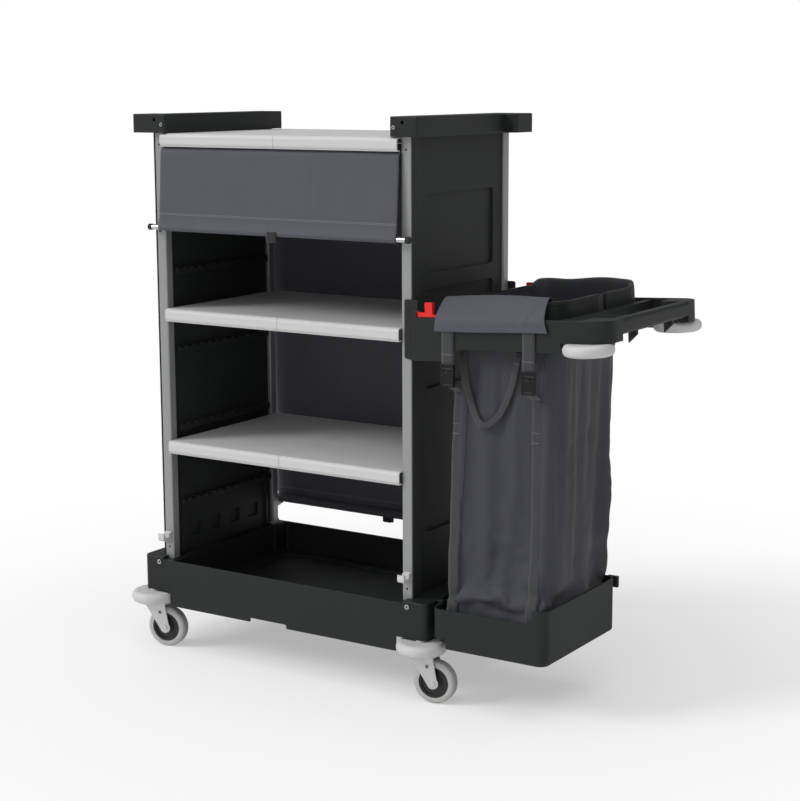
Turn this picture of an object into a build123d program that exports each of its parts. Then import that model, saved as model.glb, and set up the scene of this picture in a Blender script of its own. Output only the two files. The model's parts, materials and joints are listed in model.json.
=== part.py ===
from build123d import *
import math
import os

os.makedirs("parts", exist_ok=True)

# Housekeeping cart, millimetres, +Z up. +X runs along the cart towards the laundry bag,
# the front with the raised blind faces -Y. While it is drawn, x = 0 is the middle of the
# shelf tower. The last lines move everything so that x = 0 is the middle of the whole cart.

# Shelf tower
post_span_x = 700.0
post_span_y = 409.0
post_w = 27.0
post_d = 25.0
post_wall = 2.2
post_corner = 4.0
post_hole_r = 2.5
tower_top = 1271.0
socket_depth = 52.0
fit_gap = 0.3

# Base tray
base_over_x = 50.5
base_over_y = 23.0
base_bottom = 110.0
base_rim = 226.0
base_ear = 232.0
base_floor = 150.0
base_wall = 5.0
base_corner_r = 16.0
skirt_notch_h = 10.0

# End panels
panel_thick = 12.0
panel_recess = 6.0
panel_flange = 2.4
panel_web = 8.0
rail_depth = 13.0
rail_height = 16.0
rail_rows = 4
rail_first = 360.0
rail_pitch = 192.5
tooth_count = 12

# Shelves
shelf_below_cap = 1.0
shelf_middle = 851.0
shelf_lower = 525.0
shelf_lip = 31.0
shelf_sheet = 3.0
shelf_return = 10.0
shelf_nose_r = 9.0
shelf_rebate = 1.0
shelf_end_gap = 1.0
top_shelf_over = 15.0
shelf_over = 11.0
seam_gap = 0.6
ledge_height = 8.0

# Handle caps
handle_w = 72.0
handle_h = 44.0
handle_over_y = 16.0
handle_ear = 30.0
handle_ear_len = 82.0
handle_wall = 4.0

# Blinds
roller_r = 13.5
roller_pin_r = 5.0
roller_wall = 2.0
roller_drop = 47.0
roller_end_gap = 11.5
cloth_t = 1.2
bar_r = 6.5
bar_wall = 1.2
bar_clear = 2.0
bar_end = 21.0
bar_cap = 10.0
front_bar_drop = 223.0
low_bar_z = 288.0
tab_w = 27.0
tab_h = 15.0

# Castors
wheel_r = 50.0
wheel_w = 30.0
hub_r = 36.0
castor_trail = 35.0
castor_in_x = 21.0
castor_in_y = 14.5
axle_r = 6.0
fork_gap = 3.0
fork_sheet = 3.0
crown_r = 27.0
crown_t = 9.5
pin_r = 8.0
buffer_r = 58.0
buffer_t = 28.0
buffer_gap = 4.0

# Bag arm, drawn in its own tilted frame: u outwards, v along the axle, w upwards
arm_tilt = 2.8
arm_pivot_gap = 8.5
arm_pivot_z = 868.0
arm_len = 482.0
arm_clear = 5.0
arm_rail_t = 15.5
arm_rail_top = 11.0
arm_rail_low = -57.0
arm_block_low = -84.0
arm_block_len = 93.0
arm_head = 12.0
arm_head_len = 5.0
arm_head_t = 4.5
arm_corner_len = 67.0
arm_corner_low = -36.0
arm_corner_r = 45.0
arm_pin_r = 6.0
push_bar_w = 27.0
push_bar_h = 35.0
arm_buffer_r = 55.0
arm_buffer_t = 26.0
arm_buffer_in = 53.0
arm_buffer_out = 14.5
collar_near = 84.0
collar_far = 352.0
collar_half = 190.0
collar_wall = 5.0
collar_low = -10.0
collar_top = 45.0
collar_corner = 48.0
collar_notch = 38.0
crossbar_w = 18.0
latch_u = 12.0
latch_w = 18.0
latch_cheek = 2.2
bracket_t = 4.0

# Laundry bag
bag_gap = 1.5
bag_sheet = 2.0
bag_neck_z = 800.0
bag_back_in = 107.0
bag_foot_gap = 6.0
strap_w = 30.0
strap_t = 1.5
buckle_h = 50.0
buckle_t = 12.0

# Fold-up bag tray
tray_gap = 12.0
tray_len = 291.0
tray_depth = 348.0
tray_bottom = 135.0
tray_front_top = 227.0
tray_outer_top = 260.0
tray_wall = 4.0
tray_corner = 24.0
tray_cut_over = 18.0
tray_rod_r = 4.0
tray_rod_x = 7.0
tray_rod_z = 222.0

# Derived positions
shelf_top = tower_top - shelf_below_cap
roller_z = tower_top - roller_drop
front_bar_z = tower_top - front_bar_drop
post_x = post_span_x / 2
post_y = post_span_y / 2
post_inner = post_x - post_w / 2
post_outer = post_x + post_w / 2
post_face = post_y + post_d / 2
arm_pivot_x = post_outer + arm_pivot_gap
post_back = post_y - post_d / 2
base_x = post_outer + base_over_x
base_y = post_face + base_over_y
pad_x = post_inner - 6.5
pad_y = post_back - 42.0
castor_x = base_x - castor_in_x
castor_y = base_y - castor_in_y
buffer_low = base_bottom + 3.0
buffer_top = buffer_low + buffer_t
stem_top = buffer_top + buffer_gap
panel_out = post_outer - 5.5
panel_in = panel_out - panel_thick
panel_y = post_back - 0.5
shelf_half = post_inner - shelf_end_gap
arm_y = post_face + arm_clear
arm_front = arm_y + arm_rail_t
arm_head_face = arm_y + arm_head_t
bar_y = arm_head_face + bar_clear + bar_r
handle_inner = post_x + 3 - handle_w / 2 - 1
top_lip_y = post_face + top_shelf_over
cloth_y = top_lip_y - shelf_sheet - 2.8
roller_y = cloth_y - cloth_t / 2 - 0.6 - roller_r
roller_half = post_inner - roller_end_gap
tray_x = base_x + tray_gap
tray_far = tray_x + tray_len
tray_front = base_y
tray_back = tray_depth - tray_front
ear_t = 12.0
ear_back = tray_back - 54
ear_front = 56 - tray_front

arm_cos = math.cos(math.radians(arm_tilt))
arm_sin = math.sin(math.radians(arm_tilt))
arm_plane = Plane(
    origin=(arm_pivot_x, 0, arm_pivot_z),
    x_dir=(arm_cos, 0, arm_sin),
    z_dir=(-arm_sin, 0, arm_cos),
)
# Side view of the arm: u to the right, w upwards, looking along +Y
arm_side = Plane(
    origin=(arm_pivot_x, 0, arm_pivot_z),
    x_dir=(arm_cos, 0, arm_sin),
    z_dir=(0, -1, 0),
)

pieces = {}


def mirrored(part, about):
    with BuildPart() as copy:
        mirror(part, about=about)
    return copy.part


def arm_point(u, w):
    """World x and z of a point given in the arm's own frame."""
    return (
        arm_pivot_x + u * arm_cos - w * arm_sin,
        arm_pivot_z + u * arm_sin + w * arm_cos,
    )


# ---------------------------------------------------------------- base tray
with BuildPart() as base_tray:
    with BuildSketch(Plane.XY.offset(base_bottom)):
        RectangleRounded(2 * base_x, 2 * base_y, base_corner_r)
    extrude(amount=base_ear - base_bottom)
    fillet(base_tray.faces().sort_by(Axis.Z)[-1].edges(), 4)
    # the rim drops a little between the two end ledges
    with BuildSketch(Plane.XY.offset(base_rim)):
        Rectangle(2 * (post_x + 3), 2 * base_y + 2)
    extrude(amount=base_ear - base_rim + 1, mode=Mode.SUBTRACT)
    # inside of the tray
    with BuildSketch(Plane.XY.offset(base_floor)):
        RectangleRounded(2 * pad_x, 2 * (base_y - base_wall), 14)
    extrude(amount=base_ear - base_floor + 1, mode=Mode.SUBTRACT)
    # corner pads keep the posts
    with BuildSketch(Plane.XY.offset(base_floor)):
        with GridLocations(2 * post_x, 2 * (base_y - 29), 2, 2):
            RectangleRounded(post_w + 26, 56, 6)
    extrude(amount=base_rim - 2 - base_floor)
    # hollow underside
    with BuildSketch(Plane.XY.offset(base_bottom)):
        RectangleRounded(2 * (base_x - base_wall), 2 * (base_y - base_wall), 11)
    extrude(amount=base_floor - base_wall - base_bottom, mode=Mode.SUBTRACT)
    with BuildSketch(Plane.XY.offset(base_floor - base_wall - 1)):
        with Locations(((pad_x + base_x) / 2, 0), (-(pad_x + base_x) / 2, 0)):
            RectangleRounded(base_x - pad_x - 2 * base_wall, 2 * pad_y, 8)
    extrude(amount=base_ear - base_floor, mode=Mode.SUBTRACT)
    # room for the corner buffers
    with BuildSketch(Plane.XY.offset(base_bottom)):
        with GridLocations(2 * castor_x, 2 * castor_y, 2, 2):
            Circle(buffer_r + buffer_gap)
    extrude(amount=stem_top - base_bottom, mode=Mode.SUBTRACT)
    # post sockets
    with BuildSketch(Plane.XY.offset(base_ear)):
        with GridLocations(post_span_x, post_span_y, 2, 2):
            Rectangle(post_w + 2 * fit_gap, post_d + 2 * fit_gap)
    extrude(amount=-socket_depth, mode=Mode.SUBTRACT)
    # shallow raised part of the long lower edges
    with BuildSketch(Plane.XZ.offset(-base_y - 1)):
        with Locations((-32, base_bottom)):
            RectangleRounded(110, 2 * skirt_notch_h, 5)
    extrude(amount=2 * base_y + 2, mode=Mode.SUBTRACT)
    # drain holes and a low stiffening frame on the floor
    with BuildSketch(Plane.XY.offset(base_floor)):
        with GridLocations(230, 250, 3, 2):
            Circle(7)
    extrude(amount=-base_wall, mode=Mode.SUBTRACT)
    with BuildSketch(Plane.XY.offset(base_floor)):
        RectangleRounded(2 * pad_x - 90, 2 * base_y - 110, 20)
        RectangleRounded(2 * pad_x - 102, 2 * base_y - 122, 16, mode=Mode.SUBTRACT)
    extrude(amount=5)
    # ears that carry the bag tray's rod
    for middle in (ear_back, ear_front):
        with BuildSketch(Plane.XZ.offset(-middle - ear_t / 2)):
            with Locations((base_x + tray_rod_x - 1, tray_rod_z)):
                Rectangle(2 * tray_rod_x + 1, 18)
            with Locations((base_x + tray_rod_x, tray_rod_z)):
                Circle(tray_rod_r + fit_gap, mode=Mode.SUBTRACT)
        extrude(amount=ear_t)
pieces["base_tray"] = base_tray.part

# ---------------------------------------------------------------- corner posts
def post(x, y):
    with BuildPart() as tube:
        with BuildSketch(Plane(origin=(x, y, base_ear - socket_depth))):
            RectangleRounded(post_w, post_d, post_corner)
            RectangleRounded(
                post_w - 2 * post_wall, post_d - 2 * post_wall, 2, mode=Mode.SUBTRACT
            )
        extrude(amount=tower_top - base_ear + socket_depth)
        side = 1 if y > 0 else -1
        face = Plane(origin=(x, side * (post_face + 1), 0), x_dir=(1, 0, 0), z_dir=(0, -1, 0))
        with BuildSketch(face):
            with Locations((0, tower_top - 28), (0, base_ear + 22)):
                Circle(post_hole_r)
        extrude(amount=side * (post_wall + 2), mode=Mode.SUBTRACT)
    return tube.part


for name, sx, sy in (
    ("post_front_left", -1, -1),
    ("post_front_right", 1, -1),
    ("post_back_left", -1, 1),
    ("post_back_right", 1, 1),
):
    pieces[name] = post(sx * post_x, sy * post_y)

# ---------------------------------------------------------------- end panels
shelf_tops = (shelf_top, shelf_middle, shelf_lower)
with BuildPart() as end_panel_right:
    with BuildSketch(Plane.YZ.offset(panel_in)):
        with Locations((0, (base_ear + tower_top) / 2)):
            Rectangle(2 * panel_y, tower_top - base_ear)
    extrude(amount=panel_thick)
    # flange in front of the panel that covers the front post's outer side
    with BuildSketch(Plane.XY.offset(base_ear)):
        flange_out = post_outer + fit_gap + panel_flange
        with Locations(((panel_in + flange_out) / 2, -panel_y + panel_web / 2)):
            Rectangle(flange_out - panel_in, panel_web)
        with Locations((flange_out - panel_flange / 2, -(post_face + panel_y) / 2 + fit_gap)):
            Rectangle(panel_flange, post_face - panel_y + 2 * fit_gap)
    extrude(amount=tower_top - base_ear)
    # sunk fields on the outer face
    with BuildSketch(Plane.YZ.offset(panel_out)):
        for low, high in ((966, 1144), (705, 930), (372, 683)):
            with Locations((0, (low + high) / 2)):
                RectangleRounded(2 * panel_y - 84, high - low, 10)
    extrude(amount=-panel_recess, mode=Mode.SUBTRACT)
    # toothed rails along the inner face
    for row in range(rail_rows):
        with BuildSketch(Plane.YZ.offset(panel_in)):
            with Locations((0, rail_first + row * rail_pitch)):
                Rectangle(2 * panel_y - 24, rail_height)
            with Locations((0, rail_first + row * rail_pitch + rail_height / 2)):
                with GridLocations((2 * panel_y - 50) / (tooth_count - 1), 1, tooth_count, 1):
                    Rectangle(14, 11, mode=Mode.SUBTRACT)
        extrude(amount=-rail_depth)
    # ledges under the shelf ends
    for top in shelf_tops:
        with BuildSketch(Plane.YZ.offset(panel_in)):
            with Locations((0, top - shelf_sheet - ledge_height / 2)):
                Rectangle(2 * panel_y - 10, ledge_height)
        extrude(amount=-rail_depth - 6)
    # upright ribs near the front and back edges
    with BuildSketch(Plane.XY.offset(base_ear)):
        with GridLocations(1, 2 * panel_y - 40, 1, 2):
            with Locations((panel_in - 3, 0)):
                Rectangle(6, 8)
    extrude(amount=shelf_lower - base_ear - shelf_lip - 60)
    # four hand slots low on the panel
    with BuildSketch(Plane.YZ.offset(panel_in - 1)):
        with Locations((0, base_ear + 50)):
            with GridLocations(78, 1, 4, 1):
                RectangleRounded(44, 34, 6)
    extrude(amount=panel_recess + 1, mode=Mode.SUBTRACT)
pieces["end_panel_right"] = end_panel_right.part
pieces["end_panel_left"] = mirrored(end_panel_right.part, Plane.YZ)


# ---------------------------------------------------------------- shelves
def shelf_half_piece(top, half_depth, start, end):
    with BuildPart() as sheet:
        with BuildSketch(Plane.YZ.offset(start)):
            with Locations((0, top - shelf_lip / 2)):
                outer = Rectangle(2 * half_depth, shelf_lip)
            fillet(outer.vertices().group_by(Axis.Z)[-1], shelf_nose_r)
            with Locations((0, top - shelf_sheet - shelf_lip / 2)):
                Rectangle(2 * (half_depth - shelf_sheet), shelf_lip, mode=Mode.SUBTRACT)
            for side in (-1, 1):
                with Locations(
                    (
                        side * (half_depth - shelf_sheet - shelf_return / 2),
                        top - shelf_lip + shelf_sheet / 2,
                    )
                ):
                    Rectangle(shelf_return, shelf_sheet)
        extrude(amount=end - start)
    return sheet.part


for label, top, over in (
    ("top_shelf", shelf_top, top_shelf_over),
    ("middle_shelf", shelf_middle, shelf_over),
    ("lower_shelf", shelf_lower, shelf_over),
):
    depth = post_face + over
    pieces[label + "_left"] = shelf_half_piece(top, depth, -shelf_half, -seam_gap / 2)
    pieces[label + "_right"] = shelf_half_piece(top, depth, seam_gap / 2, shelf_half)

# the top shelf is a little lower where the handle caps reach over its ends
for label, side in (("top_shelf_left", -1), ("top_shelf_right", 1)):
    with BuildPart() as shelf:
        add(pieces[label])
        with BuildSketch(Plane.XY.offset(shelf_top - shelf_rebate)):
            with Locations((side * (handle_inner + shelf_half + 1) / 2, 0)):
                Rectangle(shelf_half + 1 - handle_inner, 2 * (post_face + top_shelf_over) + 2)
        extrude(amount=shelf_rebate + 1, mode=Mode.SUBTRACT)
    pieces[label] = shelf.part

# ---------------------------------------------------------------- handle caps
with BuildPart() as handle_right:
    with BuildSketch(Plane.XY.offset(tower_top)):
        with Locations((post_x + 3, 0)):
            RectangleRounded(handle_w, 2 * (post_face + handle_over_y), 5)
        with Locations(
            (
                post_x + 3 + handle_w / 2 + handle_ear / 2 - 5,
                post_face + handle_over_y - handle_ear_len / 2,
            )
        ):
            RectangleRounded(handle_ear + 10, handle_ear_len, 9)
    extrude(amount=handle_h)
    fillet(handle_right.faces().sort_by(Axis.Z)[-1].edges(), 2.5)
    with BuildSketch(Plane.XY.offset(tower_top)):
        with Locations((post_x + 3, 0)):
            RectangleRounded(handle_w - 2 * handle_wall, 2 * pad_y, 4)
    extrude(amount=handle_h - handle_wall, mode=Mode.SUBTRACT)
    for side in (-1, 1):
        face = Plane(
            origin=(0, side * (post_face + handle_over_y), 0),
            x_dir=(1, 0, 0),
            z_dir=(0, side, 0) if side < 0 else (0, -1, 0),
        )
        with BuildSketch(face):
            with Locations((post_x, tower_top + 31)):
                Circle(4.2)
        extrude(amount=-12 if side < 0 else 12, mode=Mode.SUBTRACT)
pieces["handle_right"] = handle_right.part
with BuildPart() as handle_left:
    add(handle_right.part.rotate(Axis.Z, 180))
pieces["handle_left"] = handle_left.part


# ---------------------------------------------------------------- screws
def screw_heads(spots, direction, radius, height):
    with BuildPart() as heads:
        for x, y, z in spots:
            with BuildSketch(Plane(origin=(x, y, z), z_dir=direction)):
                Circle(radius)
                RegularPolygon(radius * 0.45, 6, mode=Mode.SUBTRACT)
            extrude(amount=height)
    return heads.part


handle_end = post_face + handle_over_y
with BuildPart() as screws:
    for sx in (-1, 1):
        add(
            screw_heads(
                [(sx * (post_x - 22), -handle_end, tower_top + 20)], (0, -1, 0), 4.5, 2.0
            )
        )
        add(
            screw_heads(
                [(sx * (post_x - 22), handle_end, tower_top + 20)], (0, 1, 0), 4.5, 2.0
            )
        )
        add(screw_heads([(sx * (post_x + 14), -base_y, base_ear - 13)], (0, -1, 0), 6.0, 2.5))
        add(screw_heads([(sx * (post_x + 14), base_y, base_ear - 13)], (0, 1, 0), 6.0, 2.5))
pieces["screws"] = screws.part


# ---------------------------------------------------------------- castors and buffers
def ring_buffer(radius, thick, bore):
    with BuildPart() as ring:
        with BuildSketch(Plane.XZ):
            with Locations(((radius + bore) / 2, thick / 2)):
                section = Rectangle(radius - bore, thick)
            fillet(section.vertices().group_by(Axis.X)[-1], thick * 0.46)
            fillet(section.vertices().group_by(Axis.X)[0], 1.5)
        revolve(axis=Axis.Z)
    return ring.part


with BuildPart() as castor_stems:
    for sx in (-1, 1):
        for sy in (-1, 1):
            x, y = sx * castor_x, sy * castor_y
            with BuildSketch(Plane(origin=(x, y, buffer_low - crown_t - 4.5))):
                Circle(pin_r + 4)
            extrude(amount=3)
            with BuildSketch(Plane(origin=(x, y, buffer_low - crown_t - 1.5))):
                Circle(pin_r)
            extrude(amount=stem_top - buffer_low + crown_t + 1.5)
            with BuildSketch(Plane(origin=(x, y, buffer_low))):
                Circle(pin_r + 6)
            extrude(amount=stem_top - buffer_low)
pieces["castor_stems"] = castor_stems.part

with BuildPart() as castor_fork:
    # crown around the swivel pin
    with BuildSketch(Plane.XY.offset(buffer_low - 1 - crown_t + 0.5)):
        Circle(crown_r)
    extrude(amount=crown_t - 1)
    # two side plates that reach back and down to the axle
    for side in (-1, 1):
        inner = wheel_w / 2 + fork_gap
        with BuildSketch(Plane.XZ.offset(inner if side > 0 else -inner - fork_sheet)):
            with BuildLine():
                Polyline(
                    (-crown_r + 5, buffer_low - 1.5),
                    (castor_trail - 12.5, wheel_r - 5),
                    (castor_trail + 12.5, wheel_r - 5),
                    (crown_r + 8, buffer_low - 1.5),
                    close=True,
                )
            make_face()
            with Locations((castor_trail, wheel_r)):
                Circle(13.5)
            with Locations((castor_trail - 13, wheel_r + 39)):
                Rectangle(8, 8, mode=Mode.SUBTRACT)
        extrude(amount=fork_sheet)
    with BuildSketch(Plane.XY.offset(buffer_low - 1.5 - crown_t + 1)):
        with Locations((4, 0)):
            Rectangle(2 * crown_r + 6, wheel_w + 2 * fork_gap)
        Circle(crown_r - 0.5)
    extrude(amount=crown_t - 1)
    with BuildSketch(Plane.XY.offset(buffer_low - 2 * crown_t)):
        Circle(pin_r + fit_gap)
    extrude(amount=3 * crown_t, mode=Mode.SUBTRACT)
    # axle with its two heads
    with BuildSketch(Plane.XZ.offset(-wheel_w / 2 - fork_gap - fork_sheet - 3)):
        with Locations((castor_trail, wheel_r)):
            Circle(axle_r)
    extrude(amount=wheel_w + 2 * (fork_gap + fork_sheet + 3))

with BuildPart() as wheel_hub:
    with BuildSketch(Plane.XZ.offset(-wheel_w / 2 + 2)):
        with Locations((castor_trail, wheel_r)):
            Circle(hub_r)
            Circle(axle_r + fit_gap, mode=Mode.SUBTRACT)
    extrude(amount=wheel_w - 4)
    for side in (-1, 1):
        face = wheel_w / 2 - 2
        with BuildSketch(Plane.XZ.offset(face if side > 0 else -face - 3)):
            with Locations((castor_trail, wheel_r)):
                Circle(13)
                Circle(axle_r + fit_gap, mode=Mode.SUBTRACT)
        extrude(amount=3)
        with BuildSketch(Plane.XZ.offset(face if side > 0 else -face)):
            with Locations((castor_trail, wheel_r)):
                Circle(hub_r - 5)
                Circle(18, mode=Mode.SUBTRACT)
        extrude(amount=-4 if side > 0 else 4, mode=Mode.SUBTRACT)

with BuildPart() as wheel_tyre:
    with BuildSketch(Plane.XY.offset(wheel_r)):
        with Locations((castor_trail + (hub_r + wheel_r) / 2, 0)):
            tread = Rectangle(wheel_r - hub_r, wheel_w)
        fillet(tread.vertices().group_by(Axis.X)[-1], 8)
    revolve(axis=Axis((castor_trail, 0, wheel_r), (0, 1, 0)))

buffer_part = ring_buffer(buffer_r, buffer_t, pin_r + 6 + fit_gap)
castor_yaws = {
    "front_left": 12.0,
    "front_right": 10.0,
    "back_left": 16.0,
    "back_right": 7.0,
}
for corner, sx, sy in (
    ("front_left", -1, -1),
    ("front_right", 1, -1),
    ("back_left", -1, 1),
    ("back_right", 1, 1),
):
    spot = Location((sx * castor_x, sy * castor_y, 0), (0, 0, castor_yaws[corner]))
    pieces["castor_fork_" + corner] = castor_fork.part.moved(spot)
    pieces["wheel_hub_" + corner] = wheel_hub.part.moved(spot)
    pieces["wheel_tyre_" + corner] = wheel_tyre.part.moved(spot)
    pieces["buffer_" + corner] = buffer_part.moved(
        Location((sx * castor_x, sy * castor_y, buffer_low))
    )


# ---------------------------------------------------------------- blinds
def blind(side, bar_z):
    """side is -1 for the front and 1 for the back."""
    with BuildPart() as cloth:
        with BuildSketch(Plane.YZ.offset(-shelf_half - 2)):
            with BuildLine():
                Polyline(
                    (side * (cloth_y - cloth_t / 2), roller_z),
                    (side * (cloth_y + cloth_t / 2), roller_z),
                    (side * (bar_y + cloth_t / 2), bar_z + bar_r),
                    (side * (bar_y - cloth_t / 2), bar_z + bar_r),
                    close=True,
                )
            make_face()
        extrude(amount=2 * shelf_half + 4)
    bar_half = post_x + bar_end
    with BuildPart() as bar:
        with BuildSketch(Plane(origin=(-bar_half + bar_cap, side * bar_y, bar_z), z_dir=(1, 0, 0))):
            Circle(bar_r)
            Circle(bar_r - bar_wall, mode=Mode.SUBTRACT)
        extrude(amount=2 * (bar_half - bar_cap))
    with BuildPart() as fittings:
        for end in (-1, 1):
            with BuildSketch(Plane.XY.offset(bar_z)):
                with Locations((end * (bar_half - bar_cap / 2), side * (bar_y - (bar_r + 1) / 2))):
                    cap = Rectangle(bar_cap, bar_r + 1)
                outer = cap.vertices().sort_by(Axis.X)
                picked = outer[-2:] if end > 0 else outer[:2]
                fillet(picked.sort_by(Axis.Y)[-1 if side < 0 else 0], 0.5)
                tip = picked.sort_by(Axis.Y)[0 if side < 0 else -1]
                fillet(tip, 5)
            revolve(axis=Axis((0, side * bar_y, bar_z), (1, 0, 0)))
        with BuildSketch(Plane.XZ.offset(-side * bar_y - 1.2)):
            with Locations((0, bar_z - bar_r - tab_h / 2)):
                RectangleRounded(tab_w, tab_h, 4)
                with Locations((0, -2)):
                    Circle(2.5, mode=Mode.SUBTRACT)
        extrude(amount=2.4)
        for end in (-1, 1):
            with BuildSketch(Plane.XZ.offset(-side * bar_y - 2)):
                with Locations((end * (post_inner + 1.5), bar_z - bar_r - 2.5)):
                    Rectangle(5, 5)
            extrude(amount=4)
    with BuildPart() as roller:
        with BuildSketch(
            Plane(origin=(-roller_half, side * roller_y, roller_z), z_dir=(1, 0, 0))
        ):
            Circle(roller_r)
            Circle(roller_r - roller_wall, mode=Mode.SUBTRACT)
        extrude(amount=2 * roller_half)
        for end in (-roller_half, roller_half - 8):
            with BuildSketch(
                Plane(origin=(end, side * roller_y, roller_z), z_dir=(1, 0, 0))
            ):
                Circle(roller_r)
            extrude(amount=8)
        with BuildSketch(
            Plane(origin=(-post_inner + 2, side * roller_y, roller_z), z_dir=(1, 0, 0))
        ):
            Circle(roller_pin_r)
        extrude(amount=post_inner - 2 - roller_half)
        with BuildSketch(
            Plane(origin=(roller_half, side * roller_y, roller_z), z_dir=(1, 0, 0))
        ):
            Circle(roller_pin_r)
        extrude(amount=post_inner - 2 - roller_half)
    return cloth.part, bar.part, fittings.part, roller.part


for label, side, bar_z in (("front", -1, front_bar_z), ("back", 1, low_bar_z)):
    cloth, bar, fittings, roller = blind(side, bar_z)
    pieces[label + "_blind_cloth"] = cloth
    pieces[label + "_blind_bar"] = bar
    pieces[label + "_blind_fittings"] = fittings
    pieces[label + "_blind_roller"] = roller

with BuildPart() as blind_brackets:
    for sx in (-1, 1):
        for sy in (-1, 1):
            start = post_inner - 9 if sx > 0 else -post_inner
            with BuildSketch(Plane.YZ.offset(start)):
                with Locations((sy * (roller_y - 1), roller_z)):
                    RectangleRounded(20, 26, 4)
                with Locations((sy * roller_y, roller_z)):
                    Circle(roller_pin_r + fit_gap, mode=Mode.SUBTRACT)
            extrude(amount=9)
pieces["blind_brackets"] = blind_brackets.part

# Hooks that catch a lowered blind's bar
with BuildPart() as blind_hooks:
    for sx in (-1, 1):
        for sy in (-1, 1):
            floor = low_bar_z - bar_r - 0.5
            with BuildSketch(Plane.YZ.offset(sx * (post_x + 1.5) - 9)):
                with BuildLine():
                    Polyline(
                        (sy * post_face, floor + 13),
                        (sy * post_face, floor - 13),
                        (sy * (bar_y + 6), floor - 8),
                        (sy * (bar_y + bar_r + 6), floor - 4),
                        (sy * (bar_y + bar_r + 6), floor + 11),
                        (sy * (bar_y + bar_r + 1.5), floor + 11),
                        (sy * (bar_y + bar_r + 1.5), floor),
                        (sy * (bar_y - bar_r - 1.5), floor),
                        (sy * (bar_y - bar_r - 1.5), floor + 9),
                        close=True,
                    )
                make_face()
            extrude(amount=18)
pieces["blind_hooks"] = blind_hooks.part

# ---------------------------------------------------------------- bag arm
with BuildPart() as hinge_brackets:
    for sy in (-1, 1):
        plate = Plane(origin=(0, sy * post_face, 0), x_dir=(1, 0, 0), z_dir=(0, -1, 0))
        with BuildSketch(plate):
            with Locations((arm_pivot_x - 8, arm_pivot_z - 18)):
                RectangleRounded(34, 132, 5)
        extrude(amount=bracket_t if sy < 0 else -bracket_t)
        with BuildSketch(plate):
            with Locations((arm_pivot_x, arm_pivot_z)):
                Circle(arm_pin_r)
        extrude(amount=(arm_clear + arm_head_t) if sy < 0 else -(arm_clear + arm_head_t))
pieces["hinge_brackets"] = hinge_brackets.part

corner_u = arm_len - arm_corner_len
buffer_u = arm_len - arm_buffer_in
buffer_v = arm_front - arm_buffer_out
arm_buffer_top = arm_corner_low - 1.0
with BuildPart() as arm_rail_front:
    # long side plate with its deep head and the cut for the buffer
    with BuildSketch(arm_side.offset(arm_y)):
        with BuildLine():
            Polyline(
                (-arm_head, arm_rail_top - 8),
                (-arm_head + 8, arm_rail_top),
                (arm_len, arm_rail_top),
                (arm_len, arm_corner_low),
                (buffer_u - arm_buffer_r - 4, arm_corner_low),
                (buffer_u - arm_buffer_r - 4, arm_rail_low),
                (arm_block_len, arm_rail_low),
                (arm_block_len, arm_block_low),
                (-arm_head - 4, arm_block_low),
                close=True,
            )
        make_face()
        Circle(arm_pin_r + fit_gap, mode=Mode.SUBTRACT)
    extrude(amount=arm_rail_t)
    # solid corner block
    with BuildSketch(arm_plane.offset(arm_corner_low)):
        with Locations((arm_len - arm_corner_len / 2, -arm_front + 35)):
            Rectangle(arm_corner_len, 70)
    extrude(amount=arm_rail_top - arm_corner_low)
    with BuildSketch(arm_plane.offset(arm_rail_top + 1)):
        with Locations((arm_len, -arm_front)):
            Rectangle(2 * arm_corner_r, 2 * arm_corner_r)
        with Locations((arm_len - arm_corner_r, -arm_front + arm_corner_r)):
            Circle(arm_corner_r, mode=Mode.SUBTRACT)
    extrude(amount=arm_corner_low - arm_rail_top - 2, mode=Mode.SUBTRACT)
    # pin that carries the buffer
    with BuildSketch(arm_plane.offset(arm_corner_low)):
        with Locations((buffer_u, -buffer_v)):
            Circle(pin_r)
    extrude(amount=-arm_buffer_t - 2)
    with BuildSketch(arm_plane.offset(arm_corner_low - arm_buffer_t - 2)):
        with Locations((buffer_u, -buffer_v)):
            Circle(pin_r + 4)
    extrude(amount=-3)
    # the head is thinner, so that a lowered blind's bar passes in front of it
    with BuildSketch(arm_side.offset(arm_head_face)):
        with Locations(((arm_head_len - arm_head - 6) / 2, (arm_rail_top + arm_block_low) / 2)):
            Rectangle(arm_head_len + arm_head + 6, arm_rail_top - arm_block_low + 10)
    extrude(amount=arm_rail_t, mode=Mode.SUBTRACT)
    # two cheeks and a small rod for the release lever
    for offset in (0.0, arm_rail_t - latch_cheek):
        with BuildSketch(arm_side.offset(arm_y + offset)):
            with Locations((latch_u, latch_w)):
                Rectangle(12, 14)
        extrude(amount=latch_cheek)
    with BuildSketch(arm_side.offset(arm_y)):
        with Locations((latch_u, latch_w)):
            Circle(2.5)
    extrude(amount=arm_rail_t)
pieces["arm_rail_front"] = arm_rail_front.part
pieces["arm_rail_back"] = mirrored(arm_rail_front.part, Plane.XZ)

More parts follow.
